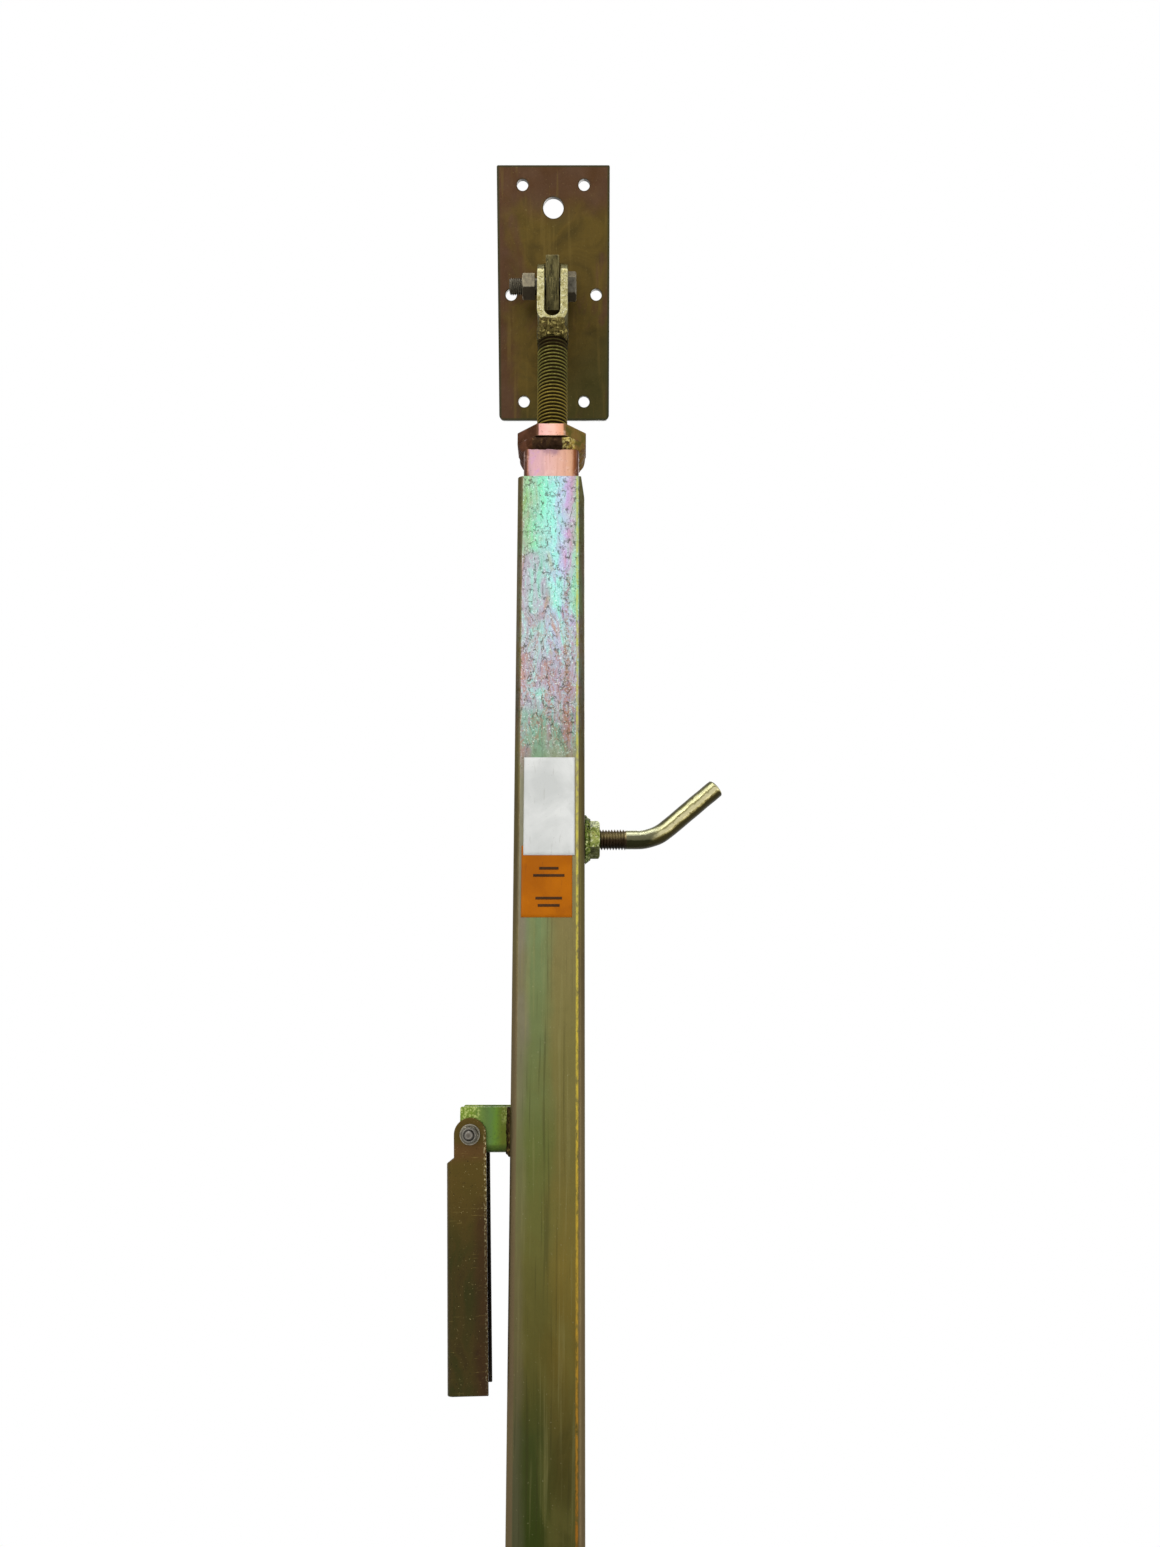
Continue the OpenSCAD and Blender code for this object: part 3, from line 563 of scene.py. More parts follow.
def bright_top(finish, tall, down, grit):
    """The outer tube's top: columns of colour under upright blotches, veins and fine cracks."""
    columns = finish.across(
        30, 7, (0.08, "8a8a4c"), (0.16, "8fb060"), (0.27, "84cc98"), (0.42, "90e2c4"), (0.56, "9cdcd4"),
        (0.65, "b2bcd8"), (0.73, "c8a0cc"), (0.79, "be94a8"), (0.86, "98a884"), (0.92, "989456"))
    blotches = finish.tones(
        13, (0.3, "7cc48e"), (0.41, "92ecd0"), (0.49, "a8e0dc"), (0.56, "b6b4d6"), (0.63, "b9a0b0"),
        (0.7, "c88c80"), (0.8, "b0a468"), at=tall, warp=1.1, rough=0.65)
    mauve = finish.tones(
        11, (0.3, "84c4a8"), (0.4, "a4c8c4"), (0.48, "b2acba"), (0.57, "a898a8"), (0.67, "b48c84"),
        (0.8, "a8966c"), at=tall, warp=1.2, rough=0.65)
    duller = finish.tones(
        12, (0.32, "648e6e"), (0.46, "84a892"), (0.56, "948a94"), (0.7, "a07a66"), at=tall, warp=1.0)
    left = finish.product(finish.slope(finish.swayed(finish.x, 14, 12, at=tall), 2, -6),
                          finish.slope(down, 62, 84, 0.0, 0.85))
    top = finish.mix(finish.slope(down, 40, 150, 0.3, 0.8), columns, blotches)
    top = finish.mix(finish.larger(left, finish.slope(down, 125, 175, 0.0, 0.85)), top, mauve)
    top = finish.mix(finish.slope(down, 195, 232, 0.0, 0.85), top, duller)

    rust = finish.product(finish.near(finish.swayed(finish.x, 16, 6), 14.6, 1.6, 3.4),
                          finish.patches(3, 0.44, 0.56, rough=0.7), finish.slope(down, 82, 100))
    lines = finish.clouds(9, at=finish.stretch(1, 1, 0.4), warp=1.8, detail=5.0, rough=0.65)
    veins = finish.rise(finish.absolute(finish.math("SUBTRACT", lines, 0.5)), 0.035, 0.008)
    cracks = finish.rise(finish.cell_edges(5, finish.stirred(tall, 7, 3.5)), 0.085, 0.025)
    return finish.coats(
        top, (rust, "8a6640", 0.65),
        (finish.product(veins, finish.band(down, 90, 170, 235, 262)), "a4705a", 0.7),
        (finish.product(cracks, finish.patches(5, 0.44, 0.58, rough=0.75)), "42463a", 0.8),
        (grit, "54584c", 0.45),
        (finish.specks(1.4, 0.1), "ecfff6", 0.6))


def olive_length(finish, tall, down, grain):
    """The rest of the outer tube: grey-green at the front's left, olive at its right; down in metres."""
    green = finish.ramp(
        down, (0.23, "7e9a7c"), (0.4, "6f7f55"), (0.5, "687044"), (0.58, "5f6534"), (0.66, "605c2e"),
        (0.73, "544e24"), (0.8, "3c421e"), (0.87, "313b14"))
    olive = finish.ramp(
        down, (0.23, "92866c"), (0.4, "7a7046"), (0.5, "746c3e"), (0.58, "6a6134"), (0.66, "70612c"),
        (0.73, "625424"), (0.8, "463f1c"), (0.87, "3c3a18"))
    right = finish.slope(finish.swayed(finish.x, 26, 14, at=tall), -6, 10)
    lilac = finish.product(finish.slope(finish.swayed(finish.x, 20, 6, at=tall), -14, -22),
                           finish.slope(down, 600, 430, 0.3, 1.0))
    return finish.coats(
        finish.mix(right, green, olive),
        (lilac, "7c6e60", 0.75),
        (finish.patches(40, 0.5, 0.66, at=tall, warp=1.0), "6a6434", 0.35),
        (finish.rise(grain, 0.56, 0.68), "8c8656", 0.2),
        (finish.rise(grain, 0.44, 0.32), "33301a", 0.35),
        (finish.specks(1.5, 0.03), "b8b088", 0.6),
        (finish.specks(1.2, 0.04), "2c2814", 0.7))


def outer_tube_finish():
    """Yellow chromate: mint, aqua, lilac at top, then grey-green, olive, dark green; partly painted reflection."""
    finish = Finish("outer_tube_chromate", 0.55, tint="b8ac80")
    finish.wrap()
    tall = finish.stretch(1, 1, 0.3)
    down = finish.math("SUBTRACT", finish.sway(55, 40, warp=1.0, detail=5.0), finish.z)
    grit = finish.patches(1.2, 0.55, 0.62, detail=3.0, rough=0.75)
    grain = finish.clouds(3.5, at=finish.stretch(1, 1, 0.025), detail=3.0)

    # Painted shade darkens the rounded corners, and a painted reflection runs bright beside the right one.
    corner = finish.slope(finish.absolute(finish.x), 24.2, 25.6)
    corner_shade = finish.coats(
        finish.tones(24, (0.35, "38301a"), (0.5, "4a3f20"), (0.66, "504c20"), at=tall),
        (finish.slope(down, 240, 620), "6c5c44", 0.75))
    highlight_line = finish.product(finish.band(finish.x, 22.3, 22.9, 24.3, 24.9),
                          finish.patches(3, 0.38, 0.56, at=tall, rough=0.8))
    gold = finish.ramp(down, (0.1, "b4bc60"), (0.5, "c4ac3c"), (0.85, "96601c"))
    # These colours are partly the chromate's own and partly painted reflection, bright at the top and darker down
    # the tube.
    face = finish.mix(finish.slope(down, 225, 275), bright_top(finish, tall, down, grit),
                      olive_length(finish, tall, down, grain))
    base = finish.coats(face, (corner, corner_shade, 0.9), (highlight_line, gold, 0.9))
    return finish.done(base, finish.roughness(finish.clouds(14), 0.3, 0.46),
                       (finish.clouds(45), 0.6), (grain, 0.05), (grit, -0.02))


def clamp_nut_finish():
    """Bright yellow-green chromate, blotched with pale and dark, painted shade on its downward faces."""
    finish = Finish("clamp_nut_chromate", 0.6)
    base = finish.coats(
        finish.tones(6, (0.3, "3c4316"), (0.46, "717c34"), (0.6, "a2aa5e"), (0.76, "80753e"), warp=1.0),
        (finish.patches(2.2, 0.44, 0.36, warp=1.0), "2a2c10", 0.8),
        (finish.patches(2.6, 0.54, 0.62, rough=0.7), "d8dca8", 0.85),
        (finish.edges(0.8), "c0c08c", 0.7),
        # Painted shade on the faces that look down.
        (finish.rise(finish.facing_z, -0.2, -0.6), "2c2812", 0.7),
        (finish.specks(1.4, 0.1), "26240c", 0.8))
    return finish.grained(base, 1.5, 0.28, 0.44, 0.1)


def clamp_screw_finish():
    """Chromate with bright and dark bands along the rod as painted light and shade, olive below, brown thread."""
    finish = Finish("clamp_screw_chromate", 0.65)
    # Painted light and shade: the colour goes round the rod by face direction, bright bands as highlights, dark as
    # shade.
    front = finish.product(finish.facing_y, -1.0)
    around = finish.math("MULTIPLY_ADD", finish.math("ARCTAN2", finish.facing_z, front), 1 / math.pi, 0.5)
    turned = finish.math("ADD", around, finish.spread(finish.clouds(9, warp=0.8), 0.07))
    arm = finish.ramp(
        turned, (0.05, "2e2a10"), (0.36, "332c0c"), (0.4, "847a4a"), (0.43, "c4bb8e"), (0.5, "c8c094"),
        (0.545, "6e683a"), (0.57, "bfba8c"), (0.64, "cfcd9e"), (0.69, "7c794e"), (0.74, "4c492a"),
        (0.9, "3e3c22"))
    straight = finish.ramp(
        turned, (0.05, "2e2c14"), (0.42, "22220a"), (0.46, "57553c"), (0.585, "63614a"),
        (0.61, "b4b492"), (0.7, "bebe98"), (0.78, "6a6a46"), (0.95, "3c3c24"))
    thread = finish.ramp(turned, (0.15, "1e150c"), (0.45, "3e2e1c"), (0.62, "94845a"), (0.72, "5a4a2c"))
    scale_line = finish.clouds(2.4, at=finish.stretch(0.14, 1, 0.3), warp=0.5, detail=4.0, rough=0.7)
    base = finish.coats(
        finish.mix(finish.slope(finish.swayed(finish.x, 10, 8), 56, 68), straight, arm),
        (finish.rise(scale_line, 0.58, 0.63), "4a3c18", 0.7),
        (finish.slope(finish.x, 36.4, 35.4), thread, 0.95))
    return finish.done(base, finish.roughness(scale_line, 0.24, 0.4),
                       (finish.clouds(7), 0.3), (finish.clouds(1.6, detail=3.0), 0.05))


def bracket_finish():
    """Lime at the outer end, a teal band in the middle, a darker lower bend, painted highlights on the ends."""
    finish = Finish("bracket_chromate", 0.55)
    place = finish.swayed(finish.x, 9, 3, warp=0.6)
    ends = finish.larger(finish.slope(place, 9, 5), finish.slope(place, 24, 28, 0.0, 0.6))
    # Painted highlight: pale patches on the upper parts of both ends.
    light = finish.product(ends, finish.slope(finish.z, 4, 16), finish.patches(1.8, 0.48, 0.58, rough=0.7))
    base = finish.coats(
        finish.ramp(finish.slope(place, -8, 34), (0.12, "6e842c"), (0.36, "627a38"), (0.5, "5a7238"),
                    (0.62, "58753a"), (0.76, "5e7d2a"), (0.9, "5a6420")),
        (light, "c2cc7c", 0.8),
        (finish.slope(finish.z, -7, -9.5), "46561e", 0.75),
        (finish.patches(8, 0.56, 0.7, warp=1.0), "48602c", 0.5),
        (finish.specks(1.6, 0.08), "30401a", 0.7),
        (finish.product(finish.edges(1.0), finish.patches(3, 0.4, 0.55)), "b6c084", 0.7))
    return finish.grained(base, 1.6, 0.3, 0.46, 0.1)


def handle_finish():
    """Brown-olive chromate, scratched across, speckled painted highlight on its right edge, painted shade inside.
    """
    finish = Finish("handle_chromate", 0.55)
    scratch = finish.clouds(2.2, at=finish.stretch(0.1, 0.1, 1.3), detail=4.0, rough=0.7)
    red = finish.product(finish.slope(finish.x, -1, 8), finish.slope(finish.z, -40, -70))
    # Painted highlight along the right edge, speckled.
    rim = finish.product(finish.slope(finish.x, 10.4, 11.6), finish.slope(finish.z, -100, -30, 0.3, 1.0),
                         finish.patches(2, 0.52, 0.59, rough=0.8))
    # Painted shade inside the channel between the flanges.
    inside = finish.product(finish.slope(finish.absolute(finish.y), 19.6, 19.0),
                            finish.slope(finish.x, -17, -16))
    base = finish.coats(
        finish.tones(30, (0.3, "2a200c"), (0.46, "3e3312"), (0.6, "302f0d"), (0.76, "483414"),
                     at=finish.stretch(1, 1, 0.5), warp=0.9),
        (finish.slope(finish.z, -115, -24), "584618", 0.75),
        (finish.band(finish.z, -24, -14, -10, -4), "5a3c20", 0.6),
        (finish.rise(scratch, 0.62, 0.68), "8a7a40", 0.5),
        (finish.specks(1.5, 0.06), "1e1808", 0.8),
        (finish.specks(1.2, 0.02), "c2b078", 0.8),
        (red, "3a2010", 0.55),
        (rim, "d0c496", 0.8),
        (inside, "100a05", 0.85))
    return finish.done(base, finish.roughness(scratch, 0.32, 0.48), (finish.clouds(22), 0.4), (scratch, 0.05))


def paper_finish(name, dark, light, wear):
    """A printed vinyl label, a little dirty and creased."""
    finish = Finish(name, specular=0.1)
    scuff = finish.clouds(3, at=finish.stretch(1, 1, 0.15), rough=0.7)
    base = finish.coats(
        finish.tones(30, (0.35, dark), (0.65, light), warp=0.6),
        (finish.specks(1.5, 0.03), wear, 0.6),
        (finish.rise(scuff, 0.6, 0.72), wear, 0.35))
    return finish.done(base, finish.roughness(scuff, 0.34, 0.5), (finish.clouds(14), 0.25), (scuff, 0.02))


FINISHES = {
    "end_plate": plate_finish(),
    "lug": lug_finish(),
    "fork": fork_finish(),
    "weld": weld_finish("weld_chromate", (0.3, "2e2812"), (0.46, "4a4020"), (0.6, "605630"),
                        (0.74, "4e3424")),
    "spindle": spindle_finish(),
    "dark_fastener": dark_fastener_finish(),
    "bright_fastener": bright_fastener_finish(),
    "spindle_nut": nut_finish(),
    "inner_tube": inner_tube_finish(),
    "outer_tube": outer_tube_finish(),
    "clamp_nut": clamp_nut_finish(),
    "clamp_screw": clamp_screw_finish(),
    "bracket": bracket_finish(),
    "handle": handle_finish(),
    "label_white": paper_finish("label_white_vinyl", "cfd0cc", "e4e4e0", "a8a69c"),
    "label_orange": paper_finish("label_orange_vinyl", "a85b00", "ba6800", "7a4210"),
    "label_ink": paper_finish("label_ink_print", "3a2410", "4a2e14", "6a4a20"),
}
NUT_WELD = nut_weld_finish()
OWN_WELDS = {
    "upper_nut_weld": NUT_WELD,
    "lower_nut_weld": NUT_WELD,
    "clamp_nut_weld": weld_finish("clamp_weld_chromate", (0.3, "2c3210"), (0.46, "4e5c22"), (0.6, "76843c"),
                                  (0.74, "5a4c22"), glint="c8cc90"),
    "handle_bracket_weld": weld_finish("bracket_weld_chromate", (0.3, "1e150c"), (0.46, "382a18"),
                                       (0.6, "4c3c20"), (0.74, "3a2418"), glint="6a5a30"),
}


# ---- Meshes ----

def shade_smooth(mesh):
    mesh.polygons.foreach_set("use_smooth", [True] * len(mesh.polygons))


def mesh_object(name, work):
    """Ends a bmesh and puts it in the scene, smooth shaded."""
    mesh = bpy.data.meshes.new(name)
    work.to_mesh(mesh)
    work.free()
    shade_smooth(mesh)
    return add_object(name, mesh)


def give_own(piece, own_frame):
    """Gives a piece its own coordinates, which the finishes read."""
    own = piece.data.attributes.new("own", "FLOAT_VECTOR", "POINT")
    for vertex, value in zip(piece.data.vertices, own.data):
        value.vector = own_frame @ vertex.co


def dress(piece, node, slot=None):
    """Gives a piece its own coordinates, its finish and its body."""
    give_own(piece, OWN_FRAMES[node])
    slot = slot or slot_of[node]
    piece.data.materials.append(OWN_WELDS.get(node) or FINISHES[slot])
    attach(piece, body_of[node])


def round_edges(piece, width):
    """Breaks the piece's sharp edges by width, and keeps its flats flat."""
    bevel = piece.modifiers.new("broken_edges", "BEVEL")
    set_all(bevel, width=width, segments=2, limit_method="ANGLE", angle_limit=SHARP_ANGLE)
    set_all(piece.modifiers.new("flat_flats", "WEIGHTED_NORMAL"), weight=100, keep_sharp=True)


def stand_in(node, suffix, work, broken_edge=None):
    """Puts a bmesh in the node's place, dressed, with its sharp edges broken if a width is given."""
    piece = mesh_object(node + suffix, work)
    dress(piece, node)
    if broken_edge:
        round_edges(piece, broken_edge)
    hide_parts(node)


def cad_copy(node):
    """The node's own faces, joined up and with its flats in one piece."""
    work = bmesh.new()
    work.from_mesh(frame["nodes"][node].data)
    bmesh.ops.remove_doubles(work, verts=work.verts, dist=MERGE)
    bmesh.ops.dissolve_limit(work, angle_limit=FLAT_ANGLE, verts=work.verts, edges=work.edges)
    return work


def close_holes(work):
    bmesh.ops.holes_fill(work, edges=[edge for edge in work.edges if edge.is_boundary])


def join_rings(work, lower, upper):
    """Adds the faces between two closed rings of as many corners."""
    for i, first in enumerate(lower):
        j = (i + 1) % len(lower)
        work.faces.new((first, lower[j], upper[j], upper[i]))


def add_skin(work, rings, hollow=False):
    """Adds a skin through rings of points, closed by two ends or, if hollow, back to its first ring."""
    rows = [[work.verts.new(point) for point in ring] for ring in rings]
    for lower, upper in zip(rows, rows[1:]):
        join_rings(work, lower, upper)
    if hollow:
        join_rings(work, rows[-1], rows[0])
    else:
        work.faces.new(rows[0][::-1])
        work.faces.new(rows[-1])
    bmesh.ops.recalc_face_normals(work, faces=work.faces)


def add_thread(work, start, along, length, radius, depth, pitch, chamfer, hand=1):
    """Adds a threaded bar from start, length metres along a direction, with chamfered flat ends."""
    turn_frame = along.to_track_quat("Z", "Y").to_matrix().to_4x4()
    turn_frame.translation = start
    rows = THREAD_PER_TURN * (math.ceil(length / pitch) + 2)

    def groove(phase):
        """0 on the crest and 1 in the root of a thread with flat crests and roots."""
        from_root = abs(phase - 0.5) * 2
        return min(max((1 - from_root - CREST_FLAT) / FLANK, 0), 1)

    def corner(column, row):
        share = column / THREAD_AROUND
        z = min(max(pitch * (row / THREAD_PER_TURN - 1 + share), 0), length)
        phase = (z / pitch - share) % 1
        reach = radius - depth * groove(phase)
        reach = min(reach, radius - chamfer + min(z, length - z))
        angle = hand * math.tau * share
        spot = Vector((reach * math.cos(angle), reach * math.sin(angle), z))
        return work.verts.new(turn_frame @ spot)

    grid = [[corner(column, row) for column in range(THREAD_AROUND)] for row in range(rows + 1)]
    made = [vertex for ring in grid for vertex in ring]
    for row in range(rows):
        for column in range(THREAD_AROUND):
            shift = THREAD_PER_TURN if column + 1 == THREAD_AROUND else 0
            if row + shift + 1 > rows:
                continue
            near = (column + 1) % THREAD_AROUND
            work.faces.new((grid[row][column], grid[row + shift][near],
                            grid[row + shift + 1][near], grid[row + 1][column]))
    bmesh.ops.remove_doubles(work, verts=made, dist=MERGE)
    loose = [vertex for vertex in made if vertex.is_valid and not vertex.link_faces]
    bmesh.ops.delete(work, geom=loose, context="VERTS")
    close_holes(work)
    bmesh.ops.recalc_face_normals(work, faces=work.faces)


def copied(node, width, clearance=0.0):
    """A node's own shape with broken edges, its skin drawn in by a clearance."""
    work = cad_copy(node)
    work.normal_update()
    for vertex in work.verts:
        vertex.co -= vertex.normal * clearance
    stand_in(node, "_steel", work, width)


def threaded_bolt(node, nut_start, along, radius, depth, pitch):
    """A bolt of the node's shape whose shank is threaded from the nut's inner face to its end."""
    end = max(corner.dot(along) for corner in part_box(node))
    work = cad_copy(node)
    everything = work.verts[:] + work.edges[:] + work.faces[:]
    bmesh.ops.bisect_plane(work, geom=everything, plane_co=nut_start, plane_no=along, clear_outer=True)
    close_holes(work)
    add_thread(work, nut_start, along, end - nut_start.dot(along), radius, depth, pitch, BOLT_CHAMFER)
    stand_in(node, "_threaded", work, 0.25 * MM)


def spindle(node, hand):
    """A bar threaded over its whole length, hand 1 for right-hand and -1 for left-hand."""
    low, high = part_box(node)
    work = bmesh.new()
    add_thread(work, on_axis(low.z), Z, high.z - low.z, (high.x - low.x) / 2,
               SPINDLE_THREAD, SPINDLE_PITCH, SPINDLE_CHAMFER, hand)
    stand_in(node, "_threaded", work)


def clamp_screw():
    """The screw's threaded part and its smooth bent arm."""
    low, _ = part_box("clamp_screw")
    work = bmesh.new()
    start = Vector((low.x, clamp_mouth.y, clamp_mouth.z))
    add_thread(work, start, X, clamp_mouth.x + CLAMP_THREAD_END - low.x,
               CLAMP_THREAD_RADIUS, CLAMP_THREAD, CLAMP_PITCH, CLAMP_CHAMFER)

    def heading(turn):
        return X * math.cos(turn) + Z * math.sin(turn)

    def ring(middle, turn, radius):
        side = Z * math.cos(turn) - X * math.sin(turn)
        angles = [math.tau * i / CLAMP_AROUND for i in range(CLAMP_AROUND)]
        return [middle + radius * (Y * math.cos(a) + side * math.sin(a)) for a in angles]

    arm_start = clamp_mouth + X * (CLAMP_THREAD_END - CLAMP_OVERLAP)
    rings = [ring(arm_start, 0.0, CLAMP_THREAD_RADIUS - CLAMP_THREAD),
             ring(arm_start + X * CLAMP_SHOULDER, 0.0, CLAMP_RADIUS)]
    centre = clamp_mouth + X * CLAMP_STRAIGHT_END + Z * CLAMP_BEND_RADIUS
    for step in range(CLAMP_STEPS + 1):
        turn = CLAMP_BEND * step / CLAMP_STEPS
        bend_end = centre + CLAMP_BEND_RADIUS * (X * math.sin(turn) - Z * math.cos(turn))
        rings.append(ring(bend_end, turn, CLAMP_RADIUS))
    for step in range(1, CLAMP_STEPS):
        out = CLAMP_ARM * step / CLAMP_STEPS
        rings.append(ring(bend_end + out * heading(CLAMP_BEND), CLAMP_BEND, CLAMP_RADIUS))
    tip = bend_end + CLAMP_ARM * heading(CLAMP_BEND)
    for back, less in CLAMP_TIP:
        rings.append(ring(tip - heading(CLAMP_BEND) * back * MM, CLAMP_BEND, CLAMP_RADIUS - less * MM))
    for each in rings[3:]:
        for index, point in enumerate(each):
            dent = DENT * noise.noise(point / DENT_SIZE) - CLAMP_INSET
            each[index] = point + (point - sum(each, ORIGIN) / CLAMP_AROUND).normalized() * dent
    add_skin(work, rings)
    stand_in("clamp_screw", "_bent", work, 0.2 * MM)


def weld(node, lump, height, voxel=0.9 * MM, work=None, shape=None):
    """A weld with the lumps and ripples of a hand-laid bead, from the node's shape or a given one."""
    piece = mesh_object(node + "_bead", work or cad_copy(node))
    set_all(piece.modifiers.new("even", "REMESH"), mode="VOXEL", voxel_size=voxel)
    piece.modifiers.new("soften", "SMOOTH").iterations = 3
    bpy.context.view_layer.update()
    evaluated = piece.evaluated_get(bpy.context.evaluated_depsgraph_get())
    mesh = bpy.data.meshes.new_from_object(evaluated)
    piece.modifiers.clear()
    piece.data = mesh
    low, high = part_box(node)
    for vertex in mesh.vertices:
        distance = noise.voronoi(vertex.co / lump)[0][0]
        ripple = RIPPLE_HEIGHT * height * noise.noise(vertex.co / (RIPPLE_SIZE * lump))
        moved = vertex.co + vertex.normal * (height * (0.5 - distance) + ripple)
        if shape:
            moved = shape(moved)
        vertex.co = [min(max(value, least), most) for value, least, most in zip(moved, low, high)]
    shade_smooth(mesh)
    dress(piece, node)
    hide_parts(node)


def fork_weld(end, pivot, down):
    """The collar between fork and spindle; its pads stop short of the bend's inner edge in an arc."""
    def below_arc(point):
        across = min(abs(point.x) / FORK_ARC_RADIUS, 1)
        limit = FORK_BEND_DROP + FORK_ARC_RADIUS * math.sqrt(1 - across ** 2)
        depth = (point - pivot).dot(down)
        proud = abs(point.y - pivot.y) > STRAP_HALF - 0.5 * MM
        return point + down * max(limit - depth, 0) if proud and across < FORK_PAD else point

    weld(end + "_fork_weld", 6 * MM, 1.8 * MM, shape=below_arc)


def nut_weld(node, tube_half, up):
    """A bead that runs from a nut's octagon down to the four sides of its tube, corners included."""
    low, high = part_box(node)
    nut_half = (high.x - low.x) / 2
    length = high.z - low.z
    top = high.z if up > 0 else low.z

    def outline(flat, corner, height):
        ring = []
        for i in range(NUT_WELD_AROUND):
            angle = math.tau * (i + 0.5) / NUT_WELD_AROUND
            side = max(abs(math.cos(angle)), abs(math.sin(angle)))
            slant = (abs(math.cos(angle)) + abs(math.sin(angle))) / math.sqrt(2)
            reach = min(flat / side, corner / slant)
            x, y = reach * math.cos(angle), head_pivot.y + reach * math.sin(angle)
            ring.append(Vector((x, y, top - up * height)))
        return ring

    inner = tube_half - 1.5 * MM
    corner = tube_half * math.sqrt(2) - 2 * MM
    proud = corner + 0.4 * MM
    work = bmesh.new()
    add_skin(work, [
        outline(inner, corner - 2 * MM, 0.2 * MM),
        outline(nut_half - 0.8 * MM, proud, 0.2 * MM),
        outline(nut_half - 1.2 * MM, proud, 0.42 * length),
        outline((nut_half + tube_half) / 2, proud, 0.72 * length),
        outline(tube_half + 0.4 * MM, proud, 0.96 * length),
        outline(inner, corner - 2 * MM, 0.96 * length)], hollow=True)
    weld(node, 8 * MM, 1.1 * MM, 1.2 * MM, work=work)


def label(name, slot, left, right, top, bottom, lift):
    """A vinyl label on the outer tube's front, in mm from its middle, its top and its face."""
    left, right, top, bottom, lift = (place * MM for place in (left, right, top, bottom, lift))
    columns, rows = LABEL_COLUMNS, max(LABEL_LEAST_ROWS, round((bottom - top) / LABEL_ROW))
    work = bmesh.new()

    def sheet_point(i, j, level):
        x = left + (right - left) * i / columns
        z = tube_high.z - top - (bottom - top) * j / rows
        inside = 0 < i < columns and 0 < j < rows
        crease = LABEL_CREASE * noise.noise(Vector((x, z, level)) / CREASE_SIZE) if inside else 0
        return work.verts.new((x, tube_low.y - (level + crease), z))

    def rim(sheet):
        return (sheet[0][:] + [row[-1] for row in sheet[1:]] + sheet[-1][-2::-1]
                + [row[0] for row in sheet[-2:0:-1]])

    sheets = [[[sheet_point(i, j, level) for i in range(columns + 1)] for j in range(rows + 1)]
              for level in (lift, lift + LABEL_THICK)]
    for sheet in sheets:
        for j in range(rows):
            for i in range(columns):
                work.faces.new((sheet[j][i], sheet[j][i + 1], sheet[j + 1][i + 1], sheet[j + 1][i]))
    join_rings(work, *map(rim, sheets))
    bmesh.ops.recalc_face_normals(work, faces=work.faces)
    dress(mesh_object(name, work), "outer_tube", slot)


# ---- The prop ----

for end in ("head", "foot"):
    for part, width in (("plate", 0.5), ("lug", 0.5), ("fork", 0.7), ("pivot_nut", 0.3)):
        copied(f"{end}_{part}", width * MM)
    nut_low, nut_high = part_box(end + "_pivot_nut")
    nut_face = Vector((nut_high.x, head_pivot.y, (nut_low.z + nut_high.z) / 2))
    threaded_bolt(end + "_pivot_bolt", nut_face, -X, BOLT_RADIUS, BOLT_THREAD, BOLT_PITCH)
    weld(end + "_lug_weld", 5 * MM, 1.6 * MM)

fork_weld("head", head_pivot, -Z)
fork_weld("foot", foot_pivot, Z)
spindle("head_spindle", 1)
spindle("foot_spindle", -1)
copied("upper_nut", 0.5 * MM)
nut_weld("upper_nut_weld", inner_high.x, 1)
copied("lower_nut", 0.5 * MM)
nut_weld("lower_nut_weld", tube_high.x, -1)

copied("inner_tube", 0.5 * MM)
copied("outer_tube", 0.5 * MM)
copied("clamp_nut", 0.4 * MM)
weld("clamp_nut_weld", 5 * MM, 1.6 * MM)
clamp_screw()
copied("handle_bracket", 0.5 * MM)
weld("handle_bracket_weld", 5 * MM, 1.2 * MM)
copied("handle_nut", 0.3 * MM)
copied("handle_washers", 0.2 * MM, clearance=0.08 * MM)
copied("turning_handle", 0.5 * MM)
handle_nut_face = Vector((handle_pivot.x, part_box("handle_nut")[1].y, handle_pivot.z))
threaded_bolt("handle_bolt", handle_nut_face, -Y, SMALL_BOLT_RADIUS, SMALL_BOLT_THREAD, SMALL_BOLT_PITCH)

label("label_white_sheet", "label_white", -21.5, 21.5, 260, 344, 0.45)
label("label_orange_sheet", "label_orange", -23, 19.5, 336, 396, 0.1)
for index, (place, width) in enumerate(BARS):
    label(f"label_bar_{index}", "label_ink", -width / 2, width / 2, place, place + BAR_HEIGHT, 0.38)


# ---- Floor, light and camera ----

def seen_white(nodes):
    """The light path's outputs, and 1 for rays from the camera or from gloss."""
    rays = nodes.node("ShaderNodeLightPath").outputs
    return rays, nodes.math("MAXIMUM", rays["Is Camera Ray"], rays["Is Glossy Ray"])


def floor_finish():
    """A pale surface that looks white to the camera away from the middle."""
    finish = Finish("pale_floor")
    fade = finish.rise(finish.radius(finish.x, finish.y), FLOOR_PALE, FLOOR_WHITE)
    finish.done(finish.mix(fade, "eae9e5", "ffffff"), 0.8)
    _, seen = seen_white(finish)
    glow = finish.node("ShaderNodeEmission", {"Color": (1, 1, 1, 1), "Strength": 1.0})
    blend = finish.node("ShaderNodeMixShader", {
        0: finish.product(fade, seen), 1: finish.shader.outputs["BSDF"], 2: glow.outputs[0]})
    finish.feed(finish.output.inputs["Surface"], blend.outputs[0])
    return finish.material


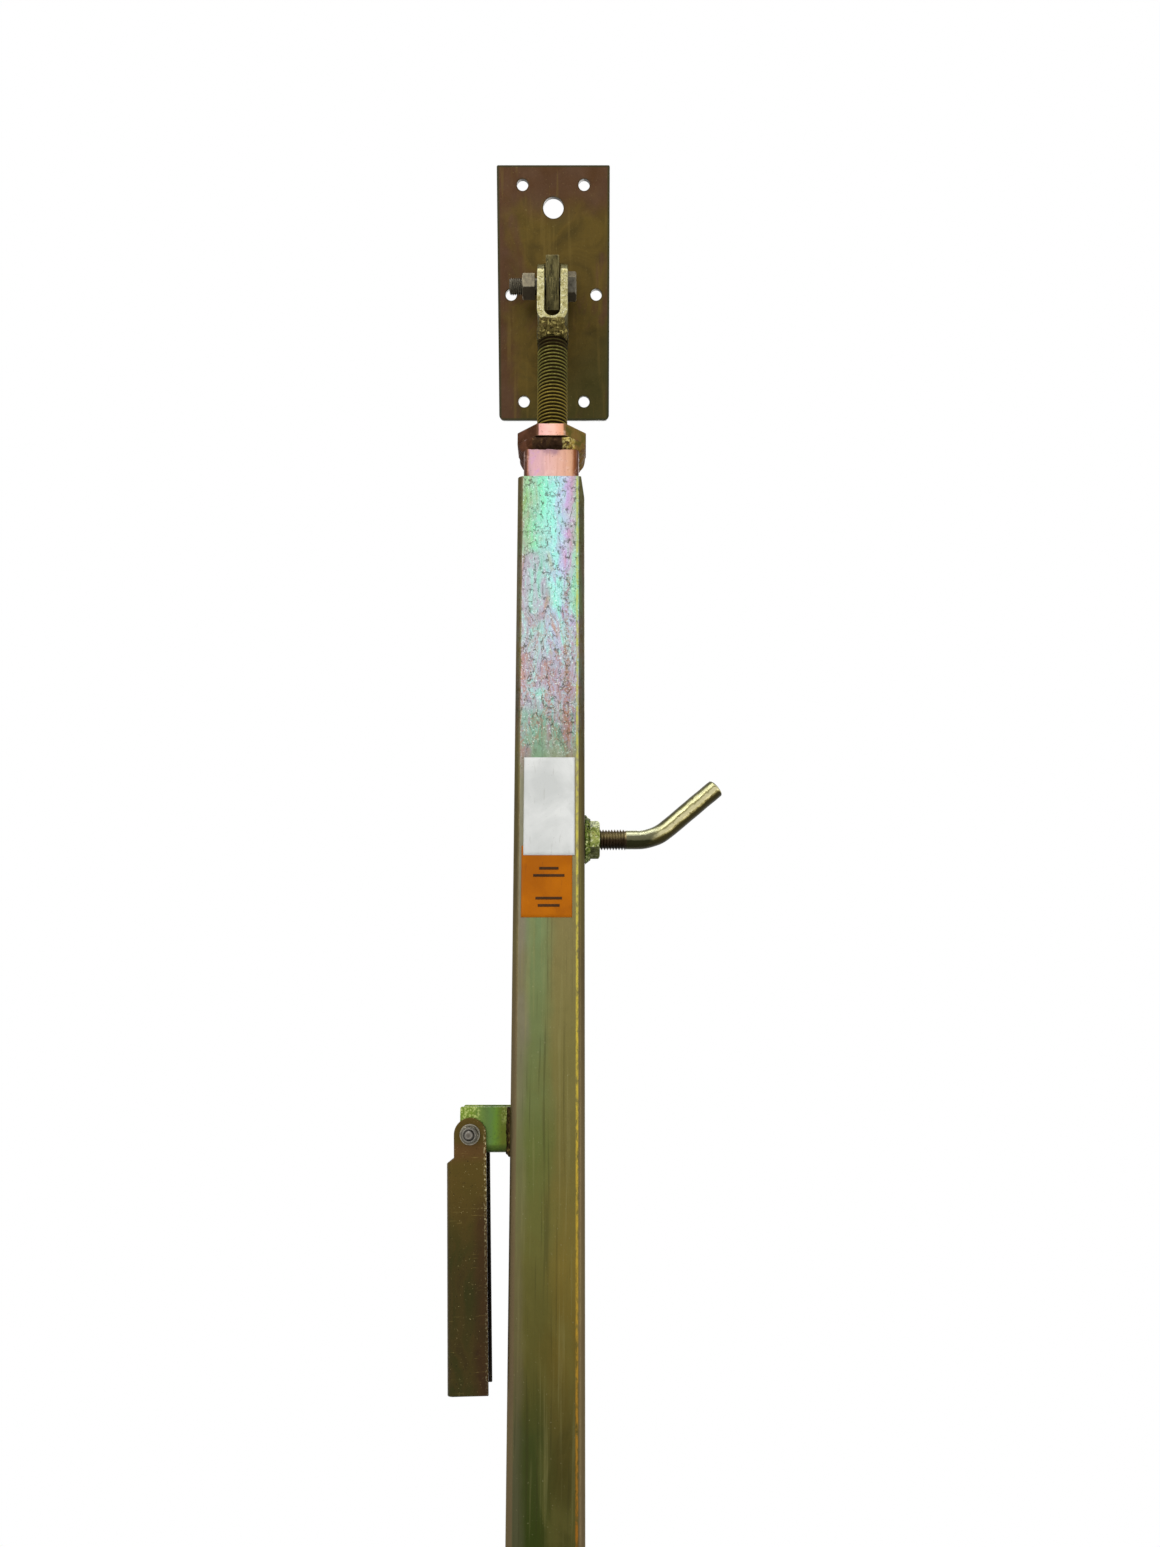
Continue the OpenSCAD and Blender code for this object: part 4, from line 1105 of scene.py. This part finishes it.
def floor():
    work = bmesh.new()
    bmesh.ops.create_circle(work, cap_ends=True, radius=FLOOR_RADIUS, segments=FLOOR_AROUND)
    piece = mesh_object("floor", work)
    give_own(piece, Matrix())
    piece.location = (0, foot_pivot.y, cad_box[0][2] - FLOOR_GAP)
    piece.data.materials.append(floor_finish())


def studio_world():
    """Soft grey light all round, which the camera, gloss and glass see as white."""
    world = bpy.data.worlds.new("studio")
    nodes = Nodes(world)
    rays, seen = seen_white(nodes)
    seen = nodes.math("MAXIMUM", seen, rays["Is Transmission Ray"])
    soft = nodes.node("ShaderNodeBackground", {"Color": (0.42, 0.43, 0.44, 1)})
    white = nodes.node("ShaderNodeBackground", {"Color": (1, 1, 1, 1)})
    blend = nodes.node("ShaderNodeMixShader", {0: seen, 1: soft.outputs[0], 2: white.outputs[0]})
    nodes.node("ShaderNodeOutputWorld", {"Surface": blend.outputs[0]})
    bpy.context.scene.world = world


def lamp(name, place, target, width, height, watts):
    light = bpy.data.lights.new(name, "AREA")
    set_all(light, shape="RECTANGLE", size=width, size_y=height, energy=watts)
    aim = (Vector(target) - Vector(place)).to_track_quat("-Z", "Y").to_euler()
    add_object(name, light, location=place, rotation_euler=aim)


def camera():
    """Stands in front of the prop, a little to its right, and looks up at it."""
    data = bpy.data.cameras.new("camera")
    set_all(data, sensor_width=36, lens=28.62, clip_start=0.05)
    place = (CAMERA_ASIDE, head_pivot.y - CAMERA_DISTANCE, head_pivot.z - CAMERA_DROP)
    bpy.context.scene.camera = add_object("camera", data, location=place, rotation_euler=(CAMERA_TILT, 0, 0))


floor()
studio_world()
middle_height = (cad_box[0][2] + cad_box[1][2]) / 2
lamp("key_lamp", (-1.3, -2.3, 0.6), (0, 0, -0.7), 1.0, 2.2, 37)
lamp("fill_lamp", (1.9, -1.8, middle_height), (0, 0, middle_height), 1.0, 2.4, 17.5)
lamp("back_lamp", (0.6, 2.2, 0.9), (0, 0, -0.8), 1.2, 1.6, 17)
lamp("top_lamp", (-0.2, -0.5, 1.9), (0, 0, 0), 1.0, 1.0, 13)
camera()
bpy.context.scene.view_settings.view_transform = "Standard"
